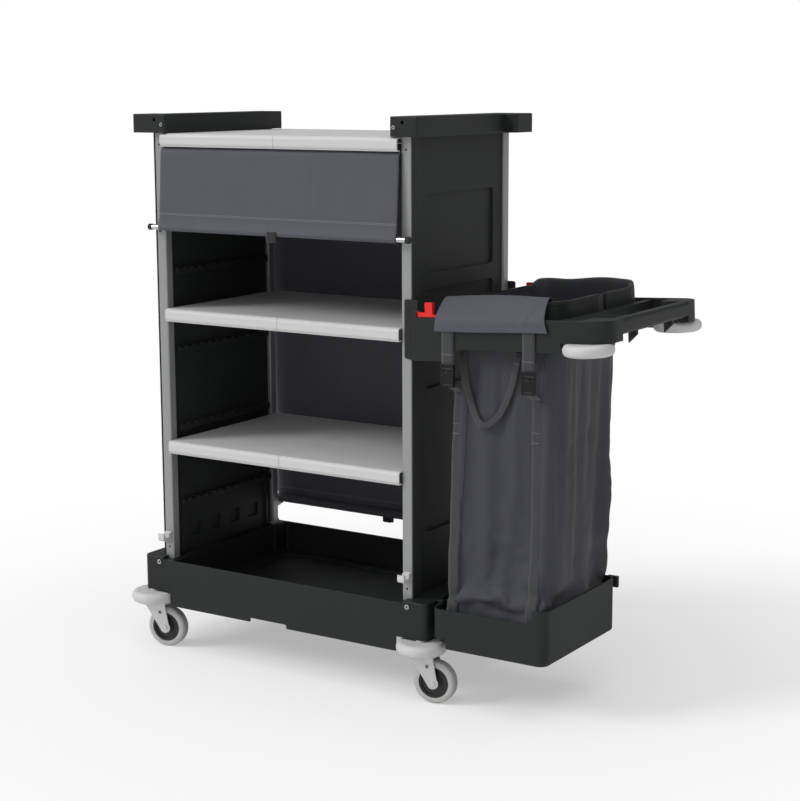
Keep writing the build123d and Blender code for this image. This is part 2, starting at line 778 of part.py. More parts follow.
with BuildPart() as arm_push_bar:
    reach = arm_front - 70
    with BuildSketch(Plane(origin=(0, -reach, 0), x_dir=(1, 0, 0), z_dir=(0, -1, 0))):
        u, w = arm_len - push_bar_w / 2, arm_rail_top - push_bar_h / 2
        with Locations(Location((*arm_point(u, w), 0), (0, 0, arm_tilt))):
            RectangleRounded(push_bar_w, push_bar_h, 8)
    extrude(amount=-2 * reach)
    # two hanging stiffeners
    for middle in (-90, 90):
        with BuildSketch(Plane(origin=(0, middle - 4, 0), x_dir=(1, 0, 0), z_dir=(0, -1, 0))):
            with BuildLine():
                Polyline(
                    arm_point(arm_len - push_bar_w + 3, arm_rail_top - push_bar_h + 2),
                    arm_point(arm_len - 4, arm_rail_top - push_bar_h + 2),
                    arm_point(arm_len - 4, arm_rail_top - push_bar_h - 8),
                    arm_point(arm_len - push_bar_w + 3, arm_rail_top - push_bar_h - 26),
                    close=True,
                )
            make_face()
        extrude(amount=-8)
pieces["arm_push_bar"] = arm_push_bar.part

with BuildPart() as arm_crossbars:
    for u in (collar_near - crossbar_w / 2, collar_far + crossbar_w / 2):
        with BuildSketch(arm_plane.offset(collar_low)):
            with Locations((u, 0)):
                Rectangle(crossbar_w, 2 * arm_y)
        extrude(amount=arm_rail_top - collar_low - 3)
pieces["arm_crossbars"] = arm_crossbars.part

with BuildPart() as collar_front:
    mid_u = (collar_near + collar_far) / 2
    length = collar_far - collar_near
    with BuildSketch(arm_plane.offset(collar_low)):
        with Locations((mid_u, 0)):
            RectangleRounded(length, 2 * collar_half, collar_corner)
            RectangleRounded(
                length - 2 * collar_wall,
                2 * (collar_half - collar_wall),
                collar_corner - collar_wall,
                mode=Mode.SUBTRACT,
            )
    extrude(amount=collar_top - collar_low)
    # outward rim along the top edge
    with BuildSketch(arm_plane.offset(collar_top - 7)):
        with Locations((mid_u, 0)):
            RectangleRounded(length + 6, 2 * collar_half + 6, collar_corner + 3)
            RectangleRounded(
                length - 2 * collar_wall,
                2 * (collar_half - collar_wall),
                collar_corner - collar_wall,
                mode=Mode.SUBTRACT,
            )
    extrude(amount=7)
    with BuildSketch(arm_plane.offset(collar_low - 1)):
        with Locations((mid_u, collar_half - collar_notch / 2)):
            Rectangle(length + 20, 2 * collar_half)
    extrude(amount=collar_top - collar_low + 2, mode=Mode.SUBTRACT)
pieces["collar_front"] = collar_front.part
pieces["collar_back"] = mirrored(collar_front.part, Plane.XZ)

arm_buffer_part = ring_buffer(arm_buffer_r, arm_buffer_t, pin_r + fit_gap)
for label, sy in (("front", -1), ("back", 1)):
    x, z = arm_point(buffer_u, arm_buffer_top - arm_buffer_t)
    pieces["arm_buffer_" + label] = arm_buffer_part.moved(
        Location((x, sy * buffer_v, z), (0, -arm_tilt, 0))
    )

# Red release levers above the two hinges
with BuildPart() as latch_front:
    with BuildSketch(arm_side.offset(arm_y + 2.8)):
        with BuildLine():
            Polyline(
                (latch_u - 6, latch_w - 3),
                (latch_u + 2, latch_w + 5),
                (latch_u + 26, latch_w + 3),
                (latch_u + 26, latch_w + 26),
                (latch_u + 45, latch_w + 26),
                (latch_u + 45, latch_w),
                (latch_u + 56, latch_w - 6),
                (latch_u + 8, latch_w - 6),
                close=True,
            )
        make_face()
        with Locations((latch_u, latch_w)):
            Circle(6)
            Circle(2.5 + fit_gap, mode=Mode.SUBTRACT)
    extrude(amount=arm_rail_t - 5.6)
pieces["latch_front"] = latch_front.part
pieces["latch_back"] = mirrored(latch_front.part, Plane.XZ)

# ---------------------------------------------------------------- laundry bag
neck_x0, _ = arm_point(collar_near + 6, 0)
neck_x1, _ = arm_point(collar_far - 4, 0)
bag_foot = buffer_top + tray_cut_over + tray_wall + 2.0


def bag_body(inset, lift):
    """Closed outline of the bag; inset shrinks it all round, lift raises its floor."""
    inner_u = collar_near + collar_wall + bag_gap + inset
    outer_u = collar_far - collar_wall - bag_gap - inset
    inner_v = collar_half - collar_wall - bag_gap - inset
    corner = collar_corner - collar_wall - bag_gap - inset
    with BuildPart() as body:
        with BuildSketch(arm_plane.offset(collar_top - 2)):
            with Locations(((inner_u + outer_u) / 2, 0)):
                RectangleRounded(outer_u - inner_u, 2 * inner_v, corner)
        with BuildSketch(arm_plane.offset(collar_low - 4)):
            with Locations(((inner_u + outer_u) / 2, 0)):
                RectangleRounded(outer_u - inner_u, 2 * inner_v, corner)
        with BuildSketch(Plane.XY.offset(bag_neck_z)):
            back = collar_half - bag_back_in - inset
            front = -(collar_half + 8 - inset)
            with Locations(((neck_x0 + neck_x1) / 2, (front + back) / 2)):
                RectangleRounded(neck_x1 - neck_x0 - 2 * inset, back - front, 30)
        with BuildSketch(Plane.XY.offset(bag_foot + lift)):
            x0 = tray_x + tray_wall + bag_foot_gap + inset
            x1 = tray_far - tray_wall - 2 * bag_foot_gap - inset
            y0 = -(tray_front - tray_wall - 4 * bag_foot_gap) + inset
            y1 = tray_back - tray_wall - bag_foot_gap - inset
            with Locations(((x0 + x1) / 2, (y0 + y1) / 2)):
                RectangleRounded(x1 - x0, y1 - y0, 30)
        loft(ruled=True)
    return body.part


bag_hollow = bag_body(bag_sheet, bag_sheet)
with BuildPart() as laundry_bag:
    add(bag_body(0, 0))
    add(bag_hollow, mode=Mode.SUBTRACT)
    with BuildSketch(arm_plane.offset(collar_top - 4)):
        with Locations(((collar_near + collar_far) / 2, 0)):
            Rectangle(
                collar_far - collar_near - 2 * (collar_wall + bag_gap + bag_sheet) - 10,
                2 * (collar_half - collar_wall - bag_gap - bag_sheet) - 10,
            )
    extrude(amount=10, mode=Mode.SUBTRACT)
pieces["laundry_bag"] = laundry_bag.part

# Flap that folds over the collar and down in front of the rail
flap_front = arm_front + 2.5
with BuildPart() as bag_flap:
    with BuildSketch(Plane(origin=arm_plane.origin, x_dir=(0, 1, 0), z_dir=arm_plane.x_dir).offset(
        collar_near - 5
    )):
        with BuildLine():
            Polyline(
                (-collar_half + 14, collar_top + 0.6),
                (-collar_half - 4.5, collar_top + 0.6),
                (-flap_front, arm_rail_top + 3),
                (-flap_front, arm_rail_top - 25),
                (-flap_front - strap_t, arm_rail_top - 25),
                (-flap_front - strap_t, arm_rail_top + 4),
                (-collar_half - 5, collar_top + 2.1),
                (-collar_half + 14, collar_top + 2.1),
                close=True,
            )
        make_face()
    extrude(amount=collar_far - collar_near)
pieces["bag_flap"] = bag_flap.part

# Webbing straps, from under the flap to the buckles and on down the bag
strap_spots = (collar_near - 2, collar_far - 70)
strap_y = flap_front + strap_t / 2
buckle_top = arm_pivot_z + arm_block_low - 1
bag_front_low = tray_front - tray_wall - 4 * bag_foot_gap
with BuildPart() as bag_straps:
    for u in strap_spots:
        x, z = arm_point(u, arm_rail_top - 26)
        with BuildSketch(Plane.XZ.offset(flap_front)):
            with Locations((x + strap_w / 2, (z + buckle_top) / 2)):
                Rectangle(strap_w, z - buckle_top)
        extrude(amount=strap_t)
        with BuildSketch(Plane.YZ.offset(x + 2)):
            with BuildLine():
                Polyline(
                    (-strap_y + 4, buckle_top - buckle_h),
                    (-strap_y + 4 + strap_t, buckle_top - buckle_h),
                    (-bag_front_low - 2.5, bag_foot + 40),
                    (-bag_front_low - 2.5, bag_foot + 12),
                    (-bag_front_low - 4, bag_foot + 12),
                    (-bag_front_low - 4, bag_foot + 40),
                    close=True,
                )
            make_face()
        extrude(amount=strap_w - 4)
pieces["bag_straps"] = bag_straps.part

with BuildPart() as bag_buckles:
    for u in strap_spots:
        x, z = arm_point(u, arm_rail_top - 26)
        with BuildSketch(Plane.XZ.offset(strap_y - buckle_t + 3)):
            with Locations((x + strap_w / 2, buckle_top - buckle_h / 2)):
                RectangleRounded(strap_w + 2, buckle_h, 4)
        extrude(amount=buckle_t)
pieces["bag_buckles"] = bag_buckles.part

# Loose webbing loop on the front of the bag
loop_x = arm_point((strap_spots[0] + strap_spots[1] + strap_w) / 2, 0)[0]
loop_top = buckle_top + 20
with BuildPart() as bag_loop:
    with BuildSketch(Plane.XZ.offset(bag_front_low + 6)):
        with BuildLine():
            down = Line((loop_x - 58, loop_top), (loop_x - 70, loop_top - 90))
            bend = ThreePointArc(
                down @ 1, (loop_x - 38, loop_top - 150), (loop_x + 2, loop_top - 110)
            )
            Line(bend @ 1, (loop_x + 52, loop_top))
        trace(line_width=20)
    extrude(amount=2)
pieces["bag_loop"] = bag_loop.part

# ---------------------------------------------------------------- fold-up bag tray
with BuildPart() as bag_tray:
    tray_mid = (tray_x + tray_far) / 2
    tray_mid_y = (tray_back - tray_front) / 2
    with BuildSketch(Plane.XY.offset(tray_bottom)):
        with Locations((tray_mid, tray_mid_y)):
            RectangleRounded(tray_len, tray_depth, tray_corner)
    extrude(amount=tray_outer_top - tray_bottom)
    # the outer wall stands higher than the other three
    with BuildSketch(Plane.XY.offset(tray_front_top)):
        with Locations((tray_mid - 34, tray_mid_y)):
            Rectangle(tray_len, tray_depth + 2)
    extrude(amount=tray_outer_top, mode=Mode.SUBTRACT)
    fillet(bag_tray.faces().sort_by(Axis.Z)[0].edges(), 7)
    with BuildSketch(Plane.XY.offset(tray_bottom + tray_wall)):
        with Locations((tray_mid, tray_mid_y)):
            RectangleRounded(
                tray_len - 2 * tray_wall, tray_depth - 2 * tray_wall, tray_corner - tray_wall
            )
    extrude(amount=tray_outer_top, mode=Mode.SUBTRACT)
    # the lower front corner is cut back around the buffer, with a wall behind the cut
    cut_r = buffer_r + 16
    with BuildSketch(Plane.XY.offset(tray_bottom + tray_wall / 2)):
        with Locations((tray_mid, tray_mid_y)):
            RectangleRounded(tray_len - tray_wall, tray_depth - tray_wall, tray_corner - tray_wall / 2)
        with Locations((castor_x, -castor_y)):
            Circle(cut_r + tray_wall, mode=Mode.INTERSECT)
    extrude(amount=buffer_top + tray_cut_over + tray_wall / 2 - tray_bottom)
    with BuildSketch(Plane.XY.offset(tray_bottom - 1)):
        with Locations((castor_x, -castor_y)):
            Circle(cut_r)
    extrude(amount=buffer_top + tray_cut_over + 1 - tray_bottom, mode=Mode.SUBTRACT)
    # gaps in the near wall for the base's two ears
    for middle in (ear_back, ear_front):
        with BuildSketch(Plane.XY.offset(tray_rod_z - 11)):
            with Locations((tray_x + tray_wall / 2, middle)):
                Rectangle(tray_wall + 2, ear_t + 2)
        extrude(amount=tray_outer_top, mode=Mode.SUBTRACT)
    # rod that turns in the base's ears, held by two knuckles
    with BuildSketch(Plane.XZ.offset(-ear_back - ear_t)):
        with Locations((base_x + tray_rod_x, tray_rod_z)):
            Circle(tray_rod_r)
    extrude(amount=ear_back - ear_front + 2 * ear_t)
    for middle in (ear_back - 12, ear_front + 36):
        with BuildSketch(Plane.XZ.offset(-middle)):
            with Locations((base_x + tray_rod_x + 3.5, tray_rod_z)):
                Rectangle(tray_rod_r + 9, 9)
        extrude(amount=24)
    # clip at the back of the outer wall
    with BuildSketch(Plane.XY.offset(tray_outer_top - 26)):
        with Locations((tray_far - 10, tray_back + 3)):
            Rectangle(26, 8)
    extrude(amount=26)
pieces["bag_tray"] = bag_tray.part

# ---------------------------------------------------------------- centre and write
whole = Compound(children=[part.moved(Location()) for part in pieces.values()])
box = whole.bounding_box()
centre = Location((-(box.min.X + box.max.X) / 2, 0, 0))
print("shift", round(centre.position.X, 3), "box", box)
for name, part in pieces.items():
    finished = part.moved(centre)
    finished.label = name
    export_step(finished, "parts/" + name + ".step")
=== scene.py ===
# %% [markdown]
# # A housekeeping cart
# The hard parts of the cart come from its CAD model: trays, panels, posts, shelves, wheels.
# This lesson adds what CAD can't: cloth blinds, a sewn laundry bag with its flap, webbing
# and buckles, the small fittings, and a finish for every surface. The CAD parts stay
# where they are, and some new pieces ride on one of their bodies.

# %% Load the CAD parts
import json
import math
import bpy
import bmesh
from mathutils import Matrix, Vector, noise
from mathutils.bvhtree import BVHTree


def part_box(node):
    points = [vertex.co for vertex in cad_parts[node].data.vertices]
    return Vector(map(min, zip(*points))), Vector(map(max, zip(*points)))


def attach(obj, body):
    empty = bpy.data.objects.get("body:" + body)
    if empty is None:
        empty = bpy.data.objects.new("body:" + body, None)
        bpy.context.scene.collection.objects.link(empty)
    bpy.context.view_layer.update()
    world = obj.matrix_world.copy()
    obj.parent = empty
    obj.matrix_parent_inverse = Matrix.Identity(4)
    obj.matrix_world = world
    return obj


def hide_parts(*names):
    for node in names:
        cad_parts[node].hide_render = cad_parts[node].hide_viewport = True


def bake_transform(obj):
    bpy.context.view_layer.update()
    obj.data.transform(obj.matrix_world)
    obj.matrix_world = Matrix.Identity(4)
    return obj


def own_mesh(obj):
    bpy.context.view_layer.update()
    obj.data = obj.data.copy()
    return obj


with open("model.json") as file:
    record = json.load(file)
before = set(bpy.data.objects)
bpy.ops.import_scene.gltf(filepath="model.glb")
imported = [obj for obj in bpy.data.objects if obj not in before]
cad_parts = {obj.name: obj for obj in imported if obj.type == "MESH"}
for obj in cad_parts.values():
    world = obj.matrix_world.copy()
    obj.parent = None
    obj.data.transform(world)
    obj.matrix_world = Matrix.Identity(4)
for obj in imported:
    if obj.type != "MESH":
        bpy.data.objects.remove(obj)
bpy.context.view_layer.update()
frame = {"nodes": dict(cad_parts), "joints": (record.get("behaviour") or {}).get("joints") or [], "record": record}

# %% [markdown]
# ## Places to measure from
# Sizes are read from the CAD parts rather than typed, so the soft pieces always fit. The
# bag's arm leans up a little from its hinge, so points on it are given along the arm (u),
# across the cart (v) and up from the arm (w).

# %% Middle of the tower and the arm's own directions
joint_at = {joint["name"]: joint for joint in frame["joints"]}
tower_x = (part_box("post_front_left")[0].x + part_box("post_front_right")[1].x) / 2
pivot = Vector(joint_at["arm_fold"]["pos_m"])
arm_up = Vector(joint_at["arm_buffer_turn_front"]["axis"])
arm_out = Vector((arm_up.z, 0, -arm_up.x))


def on_arm(u, v, w):
    """A point in the cart's frame, from millimetres along, across and above the arm."""
    spot = Vector((pivot.x, 0, pivot.z)) + arm_out * (u / 1000) + arm_up * (w / 1000)
    return Vector((spot.x, v / 1000, spot.z))


print("tower middle", round(tower_x, 4), "arm leans", [round(n, 3) for n in arm_out])

# %% [markdown]
# ## The camera
# The cart is seen from its front right corner, a little above. The camera is made first,
# because every later choice is judged through it. Its place and lens were solved from the
# cart's known corners, so it has a long lens and no shift.

# %% Camera
bpy.ops.object.camera_add(location=(2.26079, -3.51835, 1.39317))
camera = bpy.context.object
look = Vector((-0.53399, 0.82679, -0.176825)).normalized()
side = look.cross(Vector((0, 0, 1))).normalized()
top = side.cross(look)
lean = math.radians(-0.2)
side_leaned = side * math.cos(lean) + top * math.sin(lean)
top_leaned = side_leaned.cross(look)
turn = Matrix((side_leaned, top_leaned, -look)).transposed()
camera.matrix_world = Matrix.Translation(camera.location) @ turn.to_4x4()
camera.data.sensor_fit = "HORIZONTAL"
camera.data.sensor_width = 36.0
camera.data.lens = 80.35
camera.data.clip_end = 60
bpy.context.scene.camera = camera

# %% [markdown]
# ## Helpers for modelling by hand
# Blender's operators act on whatever is selected, so each piece starts by clearing the
# selection. `pick` chooses faces or edges by where they are, the way a hand would.

# %% Selecting
def deselect():
    if bpy.context.object and bpy.context.object.mode != "OBJECT":
        bpy.ops.object.mode_set(mode="OBJECT")
    bpy.ops.object.select_all(action="DESELECT")


def only(piece):
    deselect()
    piece.select_set(True)
    bpy.context.view_layer.objects.active = piece


def pick(piece, kind, test):
    """Goes to edit mode and selects the faces or edges that pass a test."""
    if piece.mode != "EDIT":
        only(piece)
        bpy.ops.object.mode_set(mode="EDIT")
    bpy.ops.mesh.select_mode(type=kind)
    bpy.ops.mesh.select_all(action="DESELECT")
    shape = bmesh.from_edit_mesh(piece.data)
    chosen = 0
    for part in shape.faces if kind == "FACE" else shape.edges:
        if test(part):
            part.select_set(True)
            chosen += 1
    bmesh.update_edit_mesh(piece.data)
    return chosen


def middle_of(edge):
    return (edge.verts[0].co + edge.verts[1].co) / 2


# %% Making and placing
def start_block(name, size, at):
    deselect()
    bpy.ops.mesh.primitive_cube_add(size=1, location=at)
    piece = bpy.context.object
    piece.name = name
    piece.scale = size
    bpy.ops.object.transform_apply(location=True, rotation=True, scale=True)
    return piece


def soften(piece, width, segments=2, angle=40):
    """Rounds every sharp edge, applies the modifier and smooths the shading."""
    only(piece)
    bevel = piece.modifiers.new("Bevel", "BEVEL")
    bevel.width = width
    bevel.segments = segments
    bevel.limit_method = "ANGLE"
    bevel.angle_limit = math.radians(angle)
    bpy.ops.object.modifier_apply(modifier=bevel.name)
    bpy.ops.object.shade_smooth_by_angle(angle=math.radians(45))
    return piece


def copy_of(piece, name, move=(0, 0, 0)):
    """A copy with its own mesh, moved in the mesh so that the object stays at the origin."""
    twin = piece.copy()
    twin.data = piece.data.copy()
    twin.name = name
    bpy.context.scene.collection.objects.link(twin)
    twin.data.transform(Matrix.Translation(Vector(move)))
    return twin


def joined(pieces, name):
    deselect()
    for piece in pieces:
        piece.select_set(True)
    bpy.context.view_layer.objects.active = pieces[0]
    bpy.ops.object.join()
    pieces[0].name = name
    return pieces[0]


# %% [markdown]
# ## Effects shared by several finishes
# Moulded plastic, painted steel and rubber all need fine grain, a little unevenness of
# colour, and edges rubbed lighter. Each effect is one node group with named inputs, built
# once and placed in each material with its own values.

# %% Node helpers
def colour(code):
    """A colour written as on a paint card, as the linear values that shaders use."""
    parts = [int(code[i : i + 2], 16) / 255 for i in (0, 2, 4)]
    return [c / 12.92 if c < 0.04045 else ((c + 0.055) / 1.055) ** 2.4 for c in parts] + [1]


def new_group(name, inputs, outputs):
    group = bpy.data.node_groups.new(name, "ShaderNodeTree")
    for label, kind, value in inputs:
        socket = group.interface.new_socket(label, in_out="INPUT", socket_type=kind)
        if value is not None:
            socket.default_value = value
    for label, kind in outputs:
        group.interface.new_socket(label, in_out="OUTPUT", socket_type=kind)
    return group, group.nodes.new("NodeGroupInput"), group.nodes.new("NodeGroupOutput")


def node(tree, kind, **settings):
    made = tree.nodes.new(kind)
    for label, value in settings.items():
        setattr(made, label, value)
    return made


def maths(tree, operation, first, second=None, third=None):
    made = node(tree, "ShaderNodeMath", operation=operation)
    for slot_number, value in enumerate((first, second, third)):
        if value is None:
            continue
        if isinstance(value, (int, float)):
            made.inputs[slot_number].default_value = value
        else:
            tree.links.new(value, made.inputs[slot_number])
    return made.outputs[0]


def mixed(tree, share, first, second):
    made = node(tree, "ShaderNodeMix", data_type="RGBA")
    for label, value in (("Factor", share), ("A", first), ("B", second)):
        sockets = [s for s in made.inputs if s.name == label and s.enabled]
        socket = sockets[0]
        if hasattr(value, "is_linked"):
            tree.links.new(value, socket)
        else:
            socket.default_value = value
    return [s for s in made.outputs if s.enabled][0]


# %% Group: moulded grain
surface_outputs = [
    ("Colour", "NodeSocketColor"),
    ("Roughness", "NodeSocketFloat"),
    ("Height", "NodeSocketFloat"),
]
grain_group, given, out = new_group(
    "Moulded grain",
    [
        ("Vector", "NodeSocketVector", None),
        ("Grain per metre", "NodeSocketFloat", 900.0),
        ("Colour", "NodeSocketColor", None),
        ("Cloudy colour", "NodeSocketColor", None),
        ("Base roughness", "NodeSocketFloat", 0.5),
    ],
    surface_outputs,
)
fine = node(grain_group, "ShaderNodeTexNoise", noise_dimensions="3D")
grain_group.links.new(given.outputs["Vector"], fine.inputs["Vector"])
grain_group.links.new(given.outputs["Grain per metre"], fine.inputs["Scale"])
fine.inputs["Detail"].default_value = 2
cloud = node(grain_group, "ShaderNodeTexNoise")
grain_group.links.new(given.outputs["Vector"], cloud.inputs["Vector"])
cloud.inputs["Scale"].default_value = 7
cloud.inputs["Detail"].default_value = 4
tone = mixed(
    grain_group, cloud.outputs["Fac"], given.outputs["Colour"], given.outputs["Cloudy colour"]
)
grain_group.links.new(tone, out.inputs["Colour"])
base_rough = given.outputs["Base roughness"]
rough = maths(grain_group, "MULTIPLY_ADD", cloud.outputs["Fac"], 0.16, base_rough)
grain_group.links.new(maths(grain_group, "SUBTRACT", rough, 0.08), out.inputs["Roughness"])
grain_group.links.new(fine.outputs["Fac"], out.inputs["Height"])

# %% Group: edge wear
wear_group, given, out = new_group(
    "Edge wear",
    [
        ("Vector", "NodeSocketVector", None),
        ("Radius", "NodeSocketFloat", 0.0015),
        ("Amount", "NodeSocketFloat", 0.5),
    ],
    [("Mask", "NodeSocketFloat"), ("Normal", "NodeSocketVector")],
)
rounded = node(wear_group, "ShaderNodeBevel", samples=4)
wear_group.links.new(given.outputs["Radius"], rounded.inputs["Radius"])
plain = node(wear_group, "ShaderNodeNewGeometry")
facing = node(wear_group, "ShaderNodeVectorMath", operation="DOT_PRODUCT")
wear_group.links.new(rounded.outputs["Normal"], facing.inputs[0])
wear_group.links.new(plain.outputs["Normal"], facing.inputs[1])
edge = maths(wear_group, "SUBTRACT", 1.0, facing.outputs["Value"])
scuffs = node(wear_group, "ShaderNodeTexNoise")
wear_group.links.new(given.outputs["Vector"], scuffs.inputs["Vector"])
scuffs.inputs["Scale"].default_value = 45
scuffs.inputs["Detail"].default_value = 5
strength = maths(wear_group, "MULTIPLY", edge, scuffs.outputs["Fac"])
mask = maths(wear_group, "MULTIPLY", strength, given.outputs["Amount"])
clamped = node(wear_group, "ShaderNodeClamp")
wear_group.links.new(maths(wear_group, "MULTIPLY", mask, 8.0), clamped.inputs["Value"])
wear_group.links.new(clamped.outputs[0], out.inputs["Mask"])
wear_group.links.new(rounded.outputs["Normal"], out.inputs["Normal"])

# %% Group: plain weave
# The pattern follows the cloth's own UV map, which is in metres along and across it.
weave_group, given, out = new_group(
    "Plain weave",
    [
        ("Vector", "NodeSocketVector", None),
        ("Threads per metre", "NodeSocketFloat", 1600.0),
        ("Colour", "NodeSocketColor", None),
        ("Thread gap", "NodeSocketColor", None),
        ("Shade", "NodeSocketColor", None),
    ],
    surface_outputs,
)


def woven(operation, first, second=None, third=None):
    return maths(weave_group, operation, first, second, third)


def thread_wave(threads):
    """Rises to 1 and falls to 0 once in every thread."""
    return woven("ABSOLUTE", woven("SINE", woven("MULTIPLY", threads, math.pi)))


spots = node(weave_group, "ShaderNodeSeparateXYZ")
weave_group.links.new(given.outputs["Vector"], spots.inputs[0])
across = woven("MULTIPLY", spots.outputs["X"], given.outputs["Threads per metre"])
along = woven("MULTIPLY", spots.outputs["Y"], given.outputs["Threads per metre"])
square = woven("ADD", woven("FLOOR", across), woven("FLOOR", along))
over = woven("ABSOLUTE", woven("MODULO", square, 2.0))
warp = woven("MULTIPLY", thread_wave(across), over)
weft = woven("MULTIPLY", thread_wave(along), woven("SUBTRACT", 1.0, over))
height = woven("ADD", warp, weft)
threads = mixed(weave_group, height, given.outputs["Thread gap"], given.outputs["Colour"])
slub = node(weave_group, "ShaderNodeTexNoise")
weave_group.links.new(given.outputs["Vector"], slub.inputs["Vector"])
slub.inputs["Scale"].default_value = 11
slub.inputs["Detail"].default_value = 5
shaded = woven("MULTIPLY", slub.outputs["Fac"], 0.8)
toned = mixed(weave_group, shaded, threads, given.outputs["Shade"])
weave_group.links.new(toned, out.inputs["Colour"])
rough = woven("MULTIPLY_ADD", slub.outputs["Fac"], 0.2, 0.5)
weave_group.links.new(rough, out.inputs["Roughness"])
weave_group.links.new(height, out.inputs["Height"])

# %% Group: stitching
# A row of stitches runs along the cloth at one height, as dashes with a small dent.
stitch_group, given, out = new_group(
    "Stitching",
    [
        ("Vector", "NodeSocketVector", None),
        ("Row at", "NodeSocketFloat", 0.02),
        ("Row width", "NodeSocketFloat", 0.0011),
        ("Stitches per metre", "NodeSocketFloat", 260.0),
    ],
    [("Mask", "NodeSocketFloat")],
)
spots = node(stitch_group, "ShaderNodeSeparateXYZ")
stitch_group.links.new(given.outputs["Vector"], spots.inputs[0])
off_row = maths(stitch_group, "SUBTRACT", spots.outputs["Y"], given.outputs["Row at"])
half_row = maths(stitch_group, "MULTIPLY", given.outputs["Row width"], 0.5)
in_row = maths(stitch_group, "LESS_THAN", maths(stitch_group, "ABSOLUTE", off_row), half_row)
count = maths(stitch_group, "MULTIPLY", spots.outputs["X"], given.outputs["Stitches per metre"])
beat = maths(stitch_group, "FRACT", count)
dash = maths(stitch_group, "LESS_THAN", beat, 0.68)
stitch_group.links.new(maths(stitch_group, "MULTIPLY", in_row, dash), out.inputs["Mask"])
print("groups:", [group.name for group in bpy.data.node_groups])

# %% [markdown]
# ## Finishes
# Each finish is one material. The shader's plain values are set on the shader itself, and
# the groups only feed it colour, roughness and bumps that change over the surface.

# %% Moulded and painted finishes
def solid_finish(
    name, main, cloudy, rough_at, grain_per_m, bump, worn, wear, radius=0.0015, **shader
):
    """Colours are codes. The remaining names are plain values of the shader itself."""
    paint = bpy.data.materials.new(name)
    paint.use_nodes = True
    tree = paint.node_tree
    surface = tree.nodes["Principled BSDF"]
    place = node(tree, "ShaderNodeTexCoord")
    grain = node(tree, "ShaderNodeGroup", node_tree=grain_group)
    tree.links.new(place.outputs["Object"], grain.inputs["Vector"])
    grain.inputs["Grain per metre"].default_value = grain_per_m
    grain.inputs["Colour"].default_value = colour(main)
    grain.inputs["Cloudy colour"].default_value = colour(cloudy)
    grain.inputs["Base roughness"].default_value = rough_at
    rub = node(tree, "ShaderNodeGroup", node_tree=wear_group)
    tree.links.new(place.outputs["Object"], rub.inputs["Vector"])
    rub.inputs["Radius"].default_value = radius
    rub.inputs["Amount"].default_value = wear
    rubbed = mixed(tree, rub.outputs["Mask"], grain.outputs["Colour"], colour(worn))
    tree.links.new(rubbed, surface.inputs["Base Color"])
    tree.links.new(grain.outputs["Roughness"], surface.inputs["Roughness"])
    dent = node(tree, "ShaderNodeBump")
    dent.inputs["Strength"].default_value = bump
    dent.inputs["Distance"].default_value = 0.0004
    tree.links.new(grain.outputs["Height"], dent.inputs["Height"])
    tree.links.new(rub.outputs["Normal"], dent.inputs["Normal"])
    tree.links.new(dent.outputs["Normal"], surface.inputs["Normal"])
    for label, value in shader.items():
        surface.inputs[label.replace("_", " ")].default_value = value
    return paint


finishes = {
    "black_plastic": solid_finish(
        "Charcoal moulding", "1d201f", "222524", 0.52, 1100, 0.35, "454948", 0.5,
        Specular_IOR_Level=0.24
    ),
    "panel_plastic": solid_finish(
        "Charcoal panel", "232525", "272929", 0.58, 700, 0.5, "414443", 0.5, Specular_IOR_Level=0.24
    ),
    "shelf_plastic": solid_finish(
        "Pale grey shelf", "c4c4c4", "bebebd", 0.5, 800, 0.25, "dcdcdc", 0.3, radius=0.003
    ),
    "post_metal": solid_finish(
        "Silver painted post", "8d8e8e", "959696", 0.4, 1500, 0.15, "cfcfcf", 0.5, Metallic=0.35
    ),
    "bar_steel": solid_finish(
        "Bright bar", "c6c7c8", "b2b3b4", 0.26, 1500, 0.1, "ffffff", 0.2, Metallic=1.0
    ),
    "fork_steel": solid_finish(
        "Plated fork", "c9cacb", "bcbdbe", 0.34, 1200, 0.15, "eeeeee", 0.4, Metallic=0.5
    ),
    "tyre_rubber": solid_finish("Grey tyre", "b4b4b2", "a7a7a5", 0.62, 600, 0.4, "8f8f8d", 0.3),
    "hub_plastic": solid_finish("Black hub", "171818", "1c1d1d", 0.42, 900, 0.3, "3c3d3d", 0.4),
    "buffer_rubber": solid_finish(
        "Pale buffer", "c4c4c3", "bababa", 0.55, 700, 0.35, "a3a3a2", 0.4, radius=0.003
    ),
    "lever_plastic": solid_finish("Red lever", "e3110c", "cf0f0b", 0.38, 800, 0.2, "ff4a40", 0.3),
    "screw_steel": solid_finish(
        "Zinc screw", "a9aaab", "939495", 0.32, 1500, 0.2, "e0e0e0", 0.5, Metallic=1.0
    ),
}


# %% Woven finishes
THREAD_COLOUR = "77777f"


